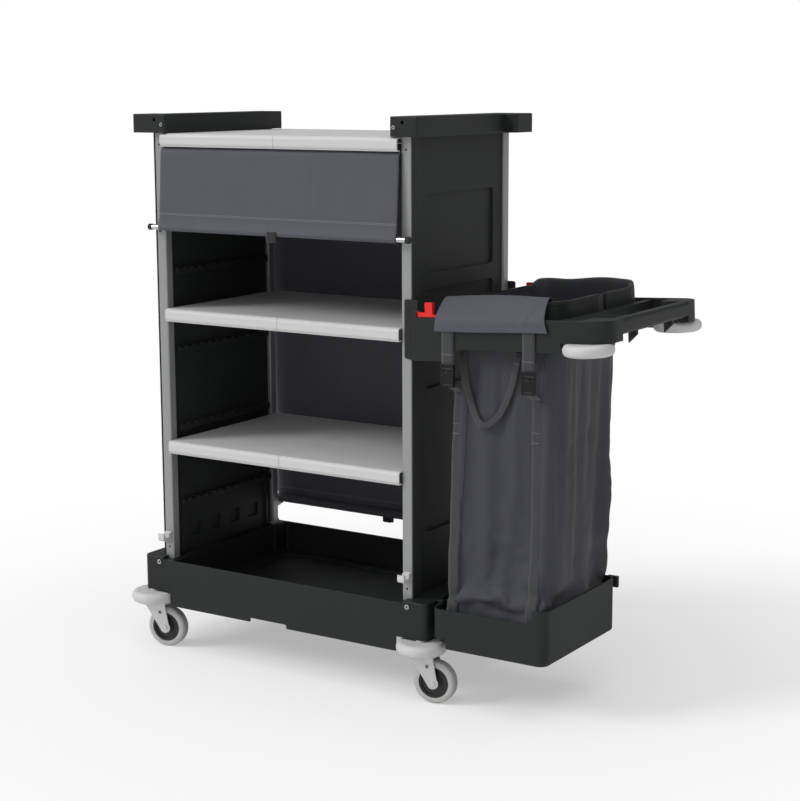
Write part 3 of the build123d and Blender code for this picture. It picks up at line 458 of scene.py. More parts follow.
def woven_finish(
    name, main, gap_tone, shade, threads_per_m, bump, rows=(), row_width=0.0011, sheen=0.25
):
    """A woven cloth. Each of its rows is a line of stitches, in metres up the cloth."""
    paint = bpy.data.materials.new(name)
    paint.use_nodes = True
    tree = paint.node_tree
    surface = tree.nodes["Principled BSDF"]
    place = node(tree, "ShaderNodeTexCoord")
    weave = node(tree, "ShaderNodeGroup", node_tree=weave_group)
    tree.links.new(place.outputs["UV"], weave.inputs["Vector"])
    weave.inputs["Threads per metre"].default_value = threads_per_m
    weave.inputs["Colour"].default_value = colour(main)
    weave.inputs["Thread gap"].default_value = colour(gap_tone)
    weave.inputs["Shade"].default_value = colour(shade)
    tint, raised = weave.outputs["Colour"], weave.outputs["Height"]
    for row in rows:
        sewn = node(tree, "ShaderNodeGroup", node_tree=stitch_group)
        tree.links.new(place.outputs["UV"], sewn.inputs["Vector"])
        sewn.inputs["Row at"].default_value = row
        sewn.inputs["Row width"].default_value = row_width
        tint = mixed(tree, sewn.outputs["Mask"], tint, colour(THREAD_COLOUR))
        raised = maths(tree, "MULTIPLY_ADD", sewn.outputs["Mask"], 2.5, raised)
    tree.links.new(tint, surface.inputs["Base Color"])
    tree.links.new(weave.outputs["Roughness"], surface.inputs["Roughness"])
    dent = node(tree, "ShaderNodeBump")
    dent.inputs["Strength"].default_value = bump
    dent.inputs["Distance"].default_value = 0.0003
    tree.links.new(raised, dent.inputs["Height"])
    tree.links.new(dent.outputs["Normal"], surface.inputs["Normal"])
    surface.inputs["Sheen Weight"].default_value = sheen
    surface.inputs["Sheen Roughness"].default_value = 0.4
    surface.inputs["Specular IOR Level"].default_value = 0.3
    return paint


finishes["blind_fabric"] = woven_finish(
    "Slate blind cloth", "54545f", "3e3e47", "4b4b55", 1500, 0.35, rows=(0.072, 0.075), sheen=0.1
)
finishes["bag_fabric"] = woven_finish(
    "Slate bag cloth", "3f4048", "2d2e34", "373840", 1300, 0.4, sheen=0.08
)
# The flap is the bag's own cloth. This copy is painted lighter to stand for the light falling on its upward face,
# which is painted light.
finishes["bag_fabric_painted_lit"] = woven_finish(
    "Slate bag cloth painted lit", "50515b", "3b3c44", "484952", 1300, 0.4, sheen=0.1
)
finishes["webbing"] = woven_finish(
    "Slate webbing", "3e3f45", "2a2b30", "37383d", 700, 0.7, rows=(0.004, 0.026), row_width=0.0014
)
finishes["hub_plastic_black"] = solid_finish(
    "Black buckle", "0c0c0d", "101011", 0.45, 900, 0.3, "2a2b2b", 0.3, Specular_IOR_Level=0.25
)
finishes["webbing_black"] = woven_finish(
    "Black webbing", "232426", "151617", "1e1f21", 700, 0.7
)

# %% Give every CAD part its finish
for label, part in frame["nodes"].items():
    slot_name = next(s["material_slot"] for s in frame["record"]["subparts"] if s["node"] == label)
    part.data.materials.clear()
    part.data.materials.append(finishes[slot_name])
print("finishes:", sorted(finishes))


def dress(piece, slot_name, body=None):
    """A new piece's finish, the record's slot it stands for, and the body it rides on."""
    piece.data.materials.clear()
    piece.data.materials.append(finishes[slot_name])
    if body:
        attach(piece, body)
    return piece


# %% [markdown]
# ## Cloth is a grid
# Blinds, flap, webbing and bag walls are all a grid of points: rows down the cloth and
# columns across it. The grid is made in code, because each point has to follow a curve,
# and it gets a UV map in metres so that the weave keeps its scale.

# %% Grid to mesh
def cloth_grid(name, rows, closed=False):
    """rows is a list of rows of points. The UV map measures the cloth in metres."""
    count = len(rows[0])
    points = [point for row in rows for point in row]
    faces = []
    for r in range(len(rows) - 1):
        for c in range(count if closed else count - 1):
            after = (c + 1) % count
            here, above = r * count, (r + 1) * count
            faces.append((here + c, here + after, above + after, above + c))
    mesh = bpy.data.meshes.new(name)
    mesh.from_pydata([tuple(p) for p in points], [], faces)
    piece = bpy.data.objects.new(name, mesh)
    bpy.context.scene.collection.objects.link(piece)
    along = [0.0]
    for r in range(1, len(rows)):
        steps = [(rows[r][c] - rows[r - 1][c]).length for c in range(count)]
        along.append(along[-1] + sum(steps) / count)
    across = [0.0]
    middle_row = rows[len(rows) // 2]
    for c in range(1, count + 1):
        across.append(across[-1] + (middle_row[c % count] - middle_row[c - 1]).length)
    uv = mesh.uv_layers.new(name="Cloth")
    step = 0
    for r in range(len(rows) - 1):
        for c in range(count if closed else count - 1):
            for cc, rr in ((c, r), (c + 1, r), (c + 1, r + 1), (c, r + 1)):
                uv.data[step].uv = (across[cc], along[-1] - along[rr])
                step += 1
    return piece, along[-1], across[count - (0 if closed else 1)]


def thicken(piece, thickness, levels=0):
    only(piece)
    wall = piece.modifiers.new("Cloth thickness", "SOLIDIFY")
    wall.thickness = thickness
    wall.offset = 0
    bpy.ops.object.modifier_apply(modifier=wall.name)
    if levels:
        smooth = piece.modifiers.new("Smooth", "SUBSURF")
        smooth.levels = smooth.render_levels = levels
        bpy.ops.object.modifier_apply(modifier=smooth.name)
    bpy.ops.object.shade_smooth()
    return piece


def wavy(point, size, seed):
    """Smooth unevenness from -1 to 1, the same on every run."""
    return noise.noise(Vector((point[0] / size + seed, point[1] / size, point[2] / size)))


# %% [markdown]
# ## The two blinds
# Each side of the cart closes with a roller blind. The cloth comes off the roller under
# the top shelf and its lower edge is sewn into a sleeve round a steel bar. A real sheet
# that has been rolled and pulled many times isn't flat: it has shallow vertical puckers
# that fade towards the roller, and small ripples just above the hem. A sheet this taut
# doesn't need a simulation, so the ripples are added to the grid.

# %% Blind cloth
def blind_cloth(label, facing_y):
    low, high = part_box(label + "_blind_cloth")
    bar_low, bar_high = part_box(label + "_blind_bar")
    bar_mid = (bar_low + bar_high) / 2
    bar_r = (bar_high.z - bar_low.z) / 2
    roller_low, roller_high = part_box(label + "_blind_roller")
    spare = 0.018 if label == "back" else 0.0
    wide = high.x - low.x + spare
    left_x = low.x - spare * 0.85
    roller_mid = (roller_low + roller_high) / 2
    wound = (roller_high.z - roller_low.z) / 2 + 0.0012
    sleeve = bar_r + 0.0012
    profile = []
    for i in range(11):
        a = math.radians(200 - 20 * i)
        y = roller_mid.y + facing_y * wound * math.cos(a)
        profile.append((y, roller_mid.z + wound * math.sin(a), 0.0))
    top_y, top_z = profile[-1][0], profile[-1][1]
    lead_in = 16 if label == "front" else 44
    pinch = bar_mid.z + 0.022
    for i in range(1, lead_in + 1):
        t = i / lead_in
        y = top_y + (bar_mid.y + facing_y * 0.001 - top_y) * t
        profile.append((y, top_z + (pinch - top_z) * t, t))
    profile.append((bar_mid.y + facing_y * 0.0042, bar_mid.z + 0.013, 1.0))
    for i in range(16):
        a = math.radians(40 - 18 * i)
        y = bar_mid.y + facing_y * sleeve * math.cos(a)
        profile.append((y, bar_mid.z + sleeve * math.sin(a), 1.0))
    profile.append((bar_mid.y - facing_y * 0.0008, bar_mid.z + 0.014, 1.0))
    columns = 110
    rows = []
    drop = top_z - bar_mid.z
    for y, z, t in profile:
        row = []
        for c in range(columns + 1):
            x = left_x + wide * c / columns
            away = math.sin(math.pi * t) if 0 < t < 1 else 0.0
            low_part = max(0.0, t - 0.5) / 0.5
            pucker = wavy((x, 0, z * 0.25), 0.06, 3 if label == "front" else 9) * 0.0030
            ripple = wavy((x, 0, z), 0.022, 5) * 0.0009
            hem = wavy((x, 0, 0), 0.035, 14) * 0.0012 * low_part
            crease = -0.0016 * math.exp(-(((x - left_x - wide * 0.655) / 0.0035) ** 2)) * away
            out_by = (pucker * (0.4 + 0.6 * low_part) + ripple) * away + hem + crease
            row.append(Vector((x, y + facing_y * out_by, z)))
        rows.append(row)
    piece, length, width = cloth_grid(label + "_blind_sheet", rows)
    thicken(piece, 0.0009)
    dress(piece, "blind_fabric")
    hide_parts(label + "_blind_cloth")
    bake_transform(piece)
    print(label, "blind", round(wide, 3), "x", round(length, 3), "m, drop", round(drop, 3))
    return piece


def pull_tab(label, facing_y):
    """A short doubled piece of webbing over the hem, where a hand pulls the blind."""
    bar_low, bar_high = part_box(label + "_blind_bar")
    fit_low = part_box(label + "_blind_fittings")[0]
    bar_mid = (bar_low + bar_high) / 2
    face = bar_mid.y + facing_y * ((bar_high.z - bar_low.z) / 2 + 0.0024)
    low_z = fit_low.z - 0.0004
    rows = []
    for i in range(14):
        t = i / 13
        z = bar_mid.z + 0.0035 + (low_z - bar_mid.z - 0.0035) * t
        y = face - facing_y * 0.0052 * max(0.0, t - 0.35) ** 1.5
        rows.append([Vector((bar_mid.x + (c / 6 - 0.5) * 0.0286, y, z)) for c in range(7)])
    piece, _, _ = cloth_grid(label + "_blind_tab", rows)
    thicken(piece, 0.0013)
    dress(piece, "webbing_black", label + "_blind")
    return piece


blind_cloth("front", -1)
blind_cloth("back", 1)
pull_tab("front", -1)
pull_tab("back", 1)

# %% [markdown]
# ## The laundry bag
# The bag hangs inside the collar of the arm and stands in the fold-up tray. It is made as
# a stack of closed rings: round the collar's mouth, in at the neck, and down to the tray.
# The mouth's back edge is turned out over the collar, which holds it open. The cloth is
# cut a little larger than the frame that it hangs in, so a short cloth simulation lets it
# grow by about two percent between its fixed top and foot, and the slack gathers into
# folds. Smaller creases, too sharp for the simulation, are pressed in afterwards.

# %% Ring shapes
SIDE_POINTS, CORNER_POINTS = 26, 8
NECK_Z = 0.800


def corner_point(corner, half_a, half_b, radius, degrees):
    a = math.radians(degrees)
    sa, sb = corner
    x = sa * (half_a - radius) + radius * math.cos(a)
    return x, sb * (half_b - radius) + radius * math.sin(a)


def ring(half_a, half_b, radius):
    """Points of a rounded rectangle, the same number on every side and corner."""
    points = []
    corners = [(1, 1), (-1, 1), (-1, -1), (1, -1)]
    for n, corner in enumerate(corners):
        start = 90 * n
        for i in range(CORNER_POINTS):
            turned = start + 90 * i / CORNER_POINTS
            points.append(corner_point(corner, half_a, half_b, radius, turned))
        begin = corner_point(corner, half_a, half_b, radius, start + 90)
        end = corner_point(corners[(n + 1) % 4], half_a, half_b, radius, start + 90)
        for i in range(SIDE_POINTS):
            t = i / SIDE_POINTS
            x = begin[0] + (end[0] - begin[0]) * t
            points.append((x, begin[1] + (end[1] - begin[1]) * t))
    return points


bag_low, bag_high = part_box("laundry_bag")
# the collar's mouth and its rim, in the arm's own millimetres
arm_near, arm_far, arm_half = 84.0, 352.0, 190.0
wall_in = 5.0 + 2.0
mouth_u, mouth_a, mouth_b = (arm_near + arm_far) / 2, (arm_far - arm_near) / 2, arm_half
rim_w = 45.0
print("bag from", [round(n, 3) for n in bag_low], "to", [round(n, 3) for n in bag_high])


# %% Bag rings
def mouth_ring(w, grow, radius):
    points = ring(mouth_a + grow, mouth_b + grow, radius)
    return [on_arm(mouth_u + a, b, w) for a, b in points]


def level_ring(z, x0, x1, y0, y1, radius):
    points = ring((x1 - x0) / 2, (y1 - y0) / 2, radius)
    return [Vector(((x0 + x1) / 2 + a, (y0 + y1) / 2 + b, z)) for a, b in points]


def bag_rows():
    inner_at = mouth_ring(rim_w - 6, -wall_in, 42)
    over_share = []
    for p in inner_at:
        t = (p.y - 0.120) / 0.050
        over_share.append(max(0.0, min(1.0, t)) ** 2)
    rows, tags = [], []
    # the turned-out cuff: height on the arm, how far outside the mouth, corner radius
    cuff = [
        (-4, 8, 56),
        (18, 8, 56),
        (rim_w - 10, 8, 56),
        (rim_w + 1.5, 7, 55),
        (rim_w + 4.5, 1, 50),
        (rim_w + 2.5, -5, 44),
    ]
    for w, grow, radius in cuff:
        outside = mouth_ring(w, grow, radius)
        folded = mouth_ring(rim_w - 4 - (rim_w - w) * 0.04, -wall_in - 1.5, 41)
        if w > rim_w:
            for i, spot in enumerate(outside):
                puffed = 0.5 + 0.5 * wavy((spot.x, spot.y, 0), 0.11, 31)
                outside[i] = spot + arm_up * (0.004 + 0.014 * puffed) * over_share[i]
        rows.append([folded[i].lerp(outside[i], over_share[i]) for i in range(len(inner_at))])
        tags.append("cuff")
    for w in (rim_w - 6, rim_w - 20, rim_w - 34, rim_w - 48):
        rows.append(mouth_ring(w, -wall_in, 42))
        tags.append("collar")
    neck = level_ring(NECK_Z, bag_x0_neck, bag_x1_neck, bag_y0_neck, bag_y1_neck, 0.034)
    last = rows[-1]
    for t in (0.35, 0.7):
        rows.append([last[i].lerp(neck[i], t) for i in range(len(neck))])
        tags.append("drop")
    count = 52
    for n in range(count + 1):
        t = n / count
        z = NECK_Z + (foot_z - NECK_Z) * t
        x0 = bag_x0_neck + (foot_x0 - bag_x0_neck) * t
        x1 = bag_x1_neck + (foot_x1 - bag_x1_neck) * t
        y0 = bag_y0_neck + (foot_y0 - bag_y0_neck) * t
        y1 = bag_y1_neck + (foot_y1 - bag_y1_neck) * t
        rows.append(level_ring(z, x0, x1, y0, y1, 0.034 - 0.008 * t))
        tags.append("wall")
    return rows, tags


def shape_at(label, z, tolerance=0.004):
    """Lowest and highest x and y of a CAD node's points close to one height."""
    points = [v.co for v in frame["nodes"][label].data.vertices if abs(v.co.z - z) < tolerance]
    across, deep = [p.x for p in points], [p.y for p in points]
    return min(across), max(across), min(deep), max(deep)


foot_z = bag_low.z + 0.001
bag_x0_neck, bag_x1_neck, bag_y0_neck, bag_y1_neck = shape_at("laundry_bag", NECK_Z)
foot_x0, foot_x1, foot_y0, foot_y1 = shape_at("laundry_bag", bag_low.z)
rows, tags = bag_rows()
print("bag rings:", len(rows), "of", len(rows[0]), "points")


# %% Folds put in
# The slack is pushed in first, so that the simulation has folds to settle.
PLEATS = 15


def bag_fold(point, share_down, ring_share):
    x, y, z = point
    deep = 0.0130 * wavy((x + (z - foot_z) * 0.10, y, z * 0.22), 0.062, 21)
    small = 0.0026 * wavy((x, y, z * 0.6), 0.030, 4)
    gathered = max(0.0, 1 - share_down / 0.3)
    turn_round = ring_share * 2 * math.pi * PLEATS + 2.0 * wavy((x, y, 0), 0.2, 2)
    pleat = 0.0055 * gathered * math.sin(turn_round)
    crease_at = crease_z + 0.006 * wavy((x, y, 0), 0.09, 8)
    crease_share = max(0.0, 0.5 + wavy((x, y, 0), 0.11, 17))
    crease = -0.0022 * math.exp(-(((z - crease_at) / 0.007) ** 2)) * crease_share
    return (deep + small) * min(1.0, share_down * 4) + pleat * min(1.0, share_down * 12) + crease


crease_z = 0.622
wall_first = tags.index("wall")
settled = []
for r, row in enumerate(rows):
    if tags[r] != "wall":
        settled.append(row)
        continue
    share_down = (r - wall_first) / (len(rows) - 1 - wall_first)
    near_foot = min(1.0, (1 - share_down) * 14)
    middle = sum(row, Vector()) / len(row)
    moved = []
    for i, point in enumerate(row):
        before, after = row[i - 1], row[(i + 1) % len(row)]
        outward = Vector((after.y - before.y, before.x - after.x, 0)).normalized()
        if outward.dot(point - middle) < 0:
            outward = -outward
        moved.append(point + outward * bag_fold(point, share_down, i / len(row)) * near_foot)
    settled.append(moved)
bag, bag_height, bag_round = cloth_grid("bag_wall", settled, closed=True)
print("bag cloth", round(bag_round, 3), "m round,", round(bag_height, 3), "m high")


# %% Let the cloth settle
def settle(piece, held_above, held_below, grow, steps, cap):
    """A cloth simulation between a fixed top and foot, applied to the mesh."""
    start = [v.co.copy() for v in piece.data.vertices]
    held = piece.vertex_groups.new(name="held")
    ends = [v.index for v in piece.data.vertices if v.co.z > held_above or v.co.z < held_below]
    held.add(ends, 1.0, "REPLACE")
    only(piece)
    cloth = piece.modifiers.new("Cloth", "CLOTH")
    cloth.settings.quality = 6
    cloth.settings.mass = 0.25
    cloth.settings.tension_stiffness = 22
    cloth.settings.compression_stiffness = 22
    cloth.settings.shear_stiffness = 8
    cloth.settings.bending_stiffness = 0.9
    cloth.settings.air_damping = 3
    cloth.settings.vertex_group_mass = "held"
    cloth.settings.shrink_min = -grow
    cloth.settings.shrink_max = -grow
    cloth.collision_settings.use_collision = False
    cloth.point_cache.frame_start = 1
    cloth.point_cache.frame_end = steps
    scene = bpy.context.scene
    for step in range(1, steps + 1):
        scene.frame_set(step)
    bpy.ops.object.modifier_apply(modifier="Cloth")
    scene.frame_set(1)
    farthest = 0.0
    for v, before in zip(piece.data.vertices, start):
        shift = v.co - before
        farthest = max(farthest, shift.length)
        if shift.length > cap:
            allowed = cap
            if shift.length < 2 * cap:
                allowed = cap + (shift.length - cap) * 0.15
            v.co = before + shift.normalized() * allowed
    piece.vertex_groups.clear()
    return farthest


moved = settle(bag, held_above=0.805, held_below=0.235, grow=0.018, steps=32, cap=0.012)
print("cloth moved at most", round(moved, 4), "m")
only(bag)
finer = bag.modifiers.new("Finer", "SUBSURF")
finer.levels = finer.render_levels = 1
bpy.ops.object.modifier_apply(modifier=finer.name)


# %% Crumple the settled cloth
def ridged(x, y, z, size, seed):
    """Sharp-crested unevenness from -1 to 1, like cloth that has been screwed up."""
    return 1 - 4 * abs(wavy((x, y, z), size, seed))


def crumple(piece):
    """Moves each point of the walls along its normal by a few millimetres at most."""
    shifts = []
    for v in piece.data.vertices:
        x, y, z = v.co
        held = min(1.0, max(0.0, (0.83 - z) / 0.05), max(0.0, (z - foot_z) / 0.03))
        slack = held * (0.55 + wavy((x, y, z), 0.16, 40))
        long_crease = ridged(x + 0.35 * z, y + 0.25 * z, 0.30 * z, 0.105, 12)
        short_crease = ridged(x - 0.5 * z, y - 0.6 * z, 0.8 * z, 0.055, 27)
        shifts.append(v.normal * (slack * (0.0030 * long_crease + 0.0014 * short_crease)))
    for v, shift in zip(piece.data.vertices, shifts):
        v.co += shift
    return max(shift.length for shift in shifts)


print("crumpled by at most", round(crumple(bag), 4), "m")
bag_surface = BVHTree.FromPolygons(
    [v.co.copy() for v in bag.data.vertices],
    [tuple(f.vertices) for f in bag.data.polygons],
)


# %% Cut the bag in two at its crease
# The upper part stays where it is made, and the lower part rides on the tower's body. The
# cut is found by its height up the cloth, which the UV map keeps.
def part_of(piece, name, keep_face):
    twin = copy_of(piece, name)
    shape = bmesh.new()
    shape.from_mesh(twin.data)
    uv = shape.loops.layers.uv.active
    lost = []
    for face in shape.faces:
        up_cloth = sum(corner[uv].uv.y for corner in face.loops) / 4
        if not keep_face(up_cloth):
            lost.append(face)
    bmesh.ops.delete(shape, geom=lost, context="FACES")
    shape.to_mesh(twin.data)
    shape.free()
    return twin


seam_row = min(range(len(rows)), key=lambda r: abs(rows[r][0].z - crease_z))
seam_up_cloth = 0.0
for row, below in zip(settled[seam_row:], settled[seam_row + 1 :]):
    seam_up_cloth += sum((b - a).length for a, b in zip(row, below)) / len(row)
bag_upper = part_of(bag, "bag_upper", lambda up_cloth: up_cloth > seam_up_cloth)
bag_lower = part_of(bag, "bag_lower", lambda up_cloth: up_cloth <= seam_up_cloth)
bpy.data.objects.remove(bag)


def close_foot(piece):
    """Fills the open foot with a floor of cloth, inset once."""
    shape = bmesh.new()
    shape.from_mesh(piece.data)
    shape.edges.ensure_lookup_table()
    low_edges = [e for e in shape.edges if e.is_boundary and middle_of(e).z < foot_z + 0.02]
    filled = bmesh.ops.holes_fill(shape, edges=low_edges, sides=0)["faces"]
    inner = bmesh.ops.inset_region(shape, faces=filled, thickness=0.03, depth=0)
    bmesh.ops.triangulate(shape, faces=[f for f in filled if f.is_valid])
    shape.to_mesh(piece.data)
    shape.free()
    return len(low_edges), len(inner["faces"])


print("foot closed with", close_foot(bag_lower))
for piece in (bag_upper, bag_lower):
    thicken(piece, 0.0014)
    bpy.ops.object.shade_smooth_by_angle(angle=math.radians(60))
    dress(piece, "bag_fabric")
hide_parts("laundry_bag")
seam_z = rows[seam_row][0].z


def hang(piece):
    """Soft pieces between the arm and the tower's part of the bag."""
    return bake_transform(piece)


def bunch(piece):
    """Soft pieces below the seam, which ride on the tower's body."""
    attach(piece, "tower")
    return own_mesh(piece)


hang(bag_upper)
bunch(bag_lower)

# %% [markdown]
# ## Webbing, stitched seams and buckles
# Webbing is a flat ribbon, modelled directly because a simulation would swallow it. Each
# ribbon follows the bag's front: its place at every height is found by looking at the bag
# from the front. Seam piping is a thin round cord sewn into the bag's vertical edges.

# %% Finding the bag's front
def front_of_bag(x, z, off=0.0015):
    hit = bag_surface.ray_cast(Vector((x, -0.6, z)), Vector((0, 1, 0)))
    return Vector((x, hit[0].y - off, z)) if hit[0] else None


def ribbon(name, line, width, thickness, sideways=Vector((1, 0, 0))):
    """A flat band of webbing along a line of points."""
    rows = []
    for point in line:
        rows.append([point + sideways * (width * (c / 4 - 0.5)) for c in range(5)])
    piece, _, _ = cloth_grid(name, rows)
    return thicken(piece, thickness)


buckle_low, buckle_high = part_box("bag_buckles")
rail_face = -(max(abs(n.y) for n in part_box("arm_rail_front")) + 0.0025)
strap_wide = 0.030
strap_at = (buckle_low.x + 0.001 + strap_wide / 2, buckle_high.x - 0.001 - strap_wide / 2)
print("straps at", [round(x, 3) for x in strap_at])

# %% Straps above and below the buckles
strap_pieces = []
for n, x in enumerate(strap_at):
    label = ("near", "far")[n]
    top_z = on_arm(0, 0, -14).z + (x - pivot.x) * arm_out.z / arm_out.x
    line = []
    for i in range(13):
        t = i / 12
        z = top_z + 0.006 + (buckle_high.z - 0.004 - top_z - 0.006) * t
        line.append(Vector((x + 0.0008 * math.sin(t * 5), rail_face - 0.0006 + 0.004 * t * t, z)))
    upper = ribbon("bag_strap_upper_" + label, line, strap_wide, 0.0015)
    dress(upper, "webbing")
    hang(upper)
    line = []
    for i in range(40):
        z = buckle_low.z + 0.006 + (seam_z - buckle_low.z - 0.006) * i / 39
        found = front_of_bag(x - 0.002, z)
        blend_in = min(1.0, i / 8)
        y = (rail_face + 0.004) * (1 - blend_in) + found.y * blend_in
        line.append(Vector((x - 0.002 * blend_in, y, z)))
    middle_part = ribbon("bag_strap_middle_" + label, line, strap_wide - 0.003, 0.0013)
    dress(middle_part, "webbing")
    hang(middle_part)
    line = []
    for i in range(50):
        z = seam_z + (foot_z + 0.012 - seam_z) * i / 49
        found = front_of_bag(x - 0.002, z)
        line.append(found)
    lower = ribbon("bag_strap_lower_" + label, line, strap_wide - 0.003, 0.0013)
    dress(lower, "webbing")
    bunch(lower)
    strap_pieces += [upper, middle_part, lower]
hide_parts("bag_straps")


# %% Side-release buckle
def buckle(name, x, z_low, z_high, y):
    tall = z_high - z_low
    body = start_block(name, (0.033, 0.008, tall * 0.62), (x, y, z_low + tall * 0.31))
    pick(body, "FACE", lambda f: f.normal.y < -0.9)
    bpy.ops.mesh.inset(thickness=0.005, depth=0)
    bpy.ops.mesh.inset(thickness=0.0012, depth=-0.0014)
    pick(body, "FACE", lambda f: f.normal.z > 0.9 and f.calc_area() > 1e-4)
    bpy.ops.mesh.inset(thickness=0.002, depth=0)
    bpy.ops.mesh.extrude_region_move(TRANSFORM_OT_translate={"value": (0, 0, 0.004)})
    bpy.ops.object.mode_set(mode="OBJECT")
    soften(body, 0.0012)
    prongs = []
    for sx in (-1, 1):
        prong_at = (x + sx * 0.0135, y, z_low + tall * 0.66)
        prong = start_block(name + "_prong", (0.005, 0.0062, tall * 0.3), prong_at)
        pick(prong, "FACE", lambda f: f.normal.x * sx > 0.9)
        bpy.ops.mesh.inset(thickness=0.0014, depth=0)
        bpy.ops.mesh.extrude_region_move(TRANSFORM_OT_translate={"value": (sx * 0.0012, 0, 0)})
        bpy.ops.object.mode_set(mode="OBJECT")
        prongs.append(soften(prong, 0.0008))
    head = start_block(name + "_head", (0.033, 0.0085, tall * 0.26), (x, y, z_high - tall * 0.13))
    pick(head, "FACE", lambda f: abs(f.normal.y) > 0.9)
    bpy.ops.mesh.inset(thickness=0.0032, depth=0)
    bpy.ops.mesh.inset(thickness=0.0008, depth=-0.0016)
    bpy.ops.object.mode_set(mode="OBJECT")
    soften(head, 0.001)
    tongue = start_block(name + "_tongue", (0.012, 0.0044, tall * 0.5), (x, y, z_low + tall * 0.58))
    pick(tongue, "EDGE", lambda e: abs(middle_of(e).x - x) > 0.005)
    bpy.ops.mesh.bevel(offset=0.0012, segments=2)
    bpy.ops.object.mode_set(mode="OBJECT")
    soften(tongue, 0.0005)
    return joined([body, head, tongue] + prongs, name)


near_buckle = buckle("bag_buckle_near", strap_at[0], buckle_low.z, buckle_high.z, rail_face + 0.002)
far_buckle = copy_of(near_buckle, "bag_buckle_far", (strap_at[1] - strap_at[0], 0, 0))
for piece in (near_buckle, far_buckle):
    dress(piece, "hub_plastic_black")
    hang(piece)
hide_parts("bag_buckles")


# %% Tube along a line, for the piping
def tube(name, line, radius):
    deselect()
    curve = bpy.data.curves.new(name, "CURVE")
    curve.dimensions = "3D"
    curve.bevel_depth = radius
    curve.bevel_resolution = 2
    curve.use_fill_caps = True
    spline = curve.splines.new("POLY")
    spline.points.add(len(line) - 1)
    for spot, point in zip(spline.points, line):
        spot.co = (*point, 1)
    piece = bpy.data.objects.new(name, curve)
    bpy.context.scene.collection.objects.link(piece)
    only(piece)
    bpy.ops.object.convert(target="MESH")
    bpy.ops.object.shade_smooth()
    return bpy.context.object


def piping_line(x_top, x_foot, z_top, z_low, steps=40):
    line = []
    for i in range(steps + 1):
        z = z_top + (z_low - z_top) * i / steps
        t = (NECK_Z - z) / (NECK_Z - foot_z)
        found = front_of_bag(x_top + (x_foot - x_top) * t, z, 0.0007)
        if found:
            line.append(found)
    return line


PIPING_R = 0.0013
for label, x_top, x_foot in (
    ("near", bag_x0_neck + 0.036, foot_x0 + 0.034),
    ("far", bag_x1_neck - 0.036, foot_x1 - 0.034),
):
    upper_line = piping_line(x_top, x_foot, 0.815, seam_z)
    lower_line = piping_line(x_top, x_foot, seam_z, foot_z + 0.012)
    upper = tube("bag_piping_upper_" + label, upper_line, PIPING_R)
    lower = tube("bag_piping_lower_" + label, lower_line, PIPING_R)
    dress(upper, "bag_fabric")
    dress(lower, "bag_fabric")
    hang(upper)
    bunch(lower)

# %% [markdown]
# ## The loop on the bag's front
# A loose loop of webbing hangs between the straps, to carry the bag by. Its line is a
# hanging curve, deeper on the near side where its own fold pulls it.

# %% Loop
LOOP_WIDE = 0.0155
loop_low, loop_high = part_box("bag_loop")
# places along the hanging curve, as shares across and up the CAD loop's box
loop_spots = [
    (0.02, 1.06), (0.03, 0.86), (0.07, 0.62), (0.125, 0.4), (0.215, 0.2), (0.34, 0.065),
    (0.47, 0.045), (0.6, 0.13), (0.72, 0.3), (0.82, 0.5), (0.9, 0.74), (0.955, 1.06),
]
guide = bpy.data.curves.new("loop guide", "CURVE")
guide.dimensions = "3D"
spline = guide.splines.new("NURBS")
spline.points.add(len(loop_spots) - 1)
for spot, (across, up) in zip(spline.points, loop_spots):
    x = loop_low.x + (loop_high.x - loop_low.x) * across
    z = loop_low.z + (loop_high.z - loop_low.z) * up
    spot.co = (x, 0, z, 1)
spline.order_u = 3
spline.use_endpoint_u = True
spline.resolution_u = 6
guide_object = bpy.data.objects.new("loop guide", guide)
bpy.context.scene.collection.objects.link(guide_object)
bpy.context.view_layer.update()
guide_mesh = bpy.data.meshes.new_from_object(guide_object)
loop_line = [v.co.copy() for v in guide_mesh.vertices]
bpy.data.objects.remove(guide_object)
rows_of_loop = []
for i, point in enumerate(loop_line):
    before = loop_line[max(0, i - 1)]
    after = loop_line[min(len(loop_line) - 1, i + 1)]
    ahead = (after - before).normalized()
    edge_way = Vector((-ahead.z, 0, ahead.x))
    share = i / (len(loop_line) - 1)
    found = front_of_bag(point.x, min(point.z, 0.83), 0.004 + 0.008 * math.sin(math.pi * share))
    middle = Vector((point.x, found.y, point.z))
    row = []
    for c in range(5):
        side_share = c / 4 - 0.5
        tilt = Vector((0, 0.002 * side_share, 0))
        row.append(middle + edge_way * (LOOP_WIDE * side_share) + tilt)
    rows_of_loop.append(row)
loop, loop_length, _ = cloth_grid("bag_loop_webbing", rows_of_loop)
thicken(loop, 0.0016)
dress(loop, "webbing")
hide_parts("bag_loop")
hang(loop)
print("loop webbing", round(loop_length, 3), "m")
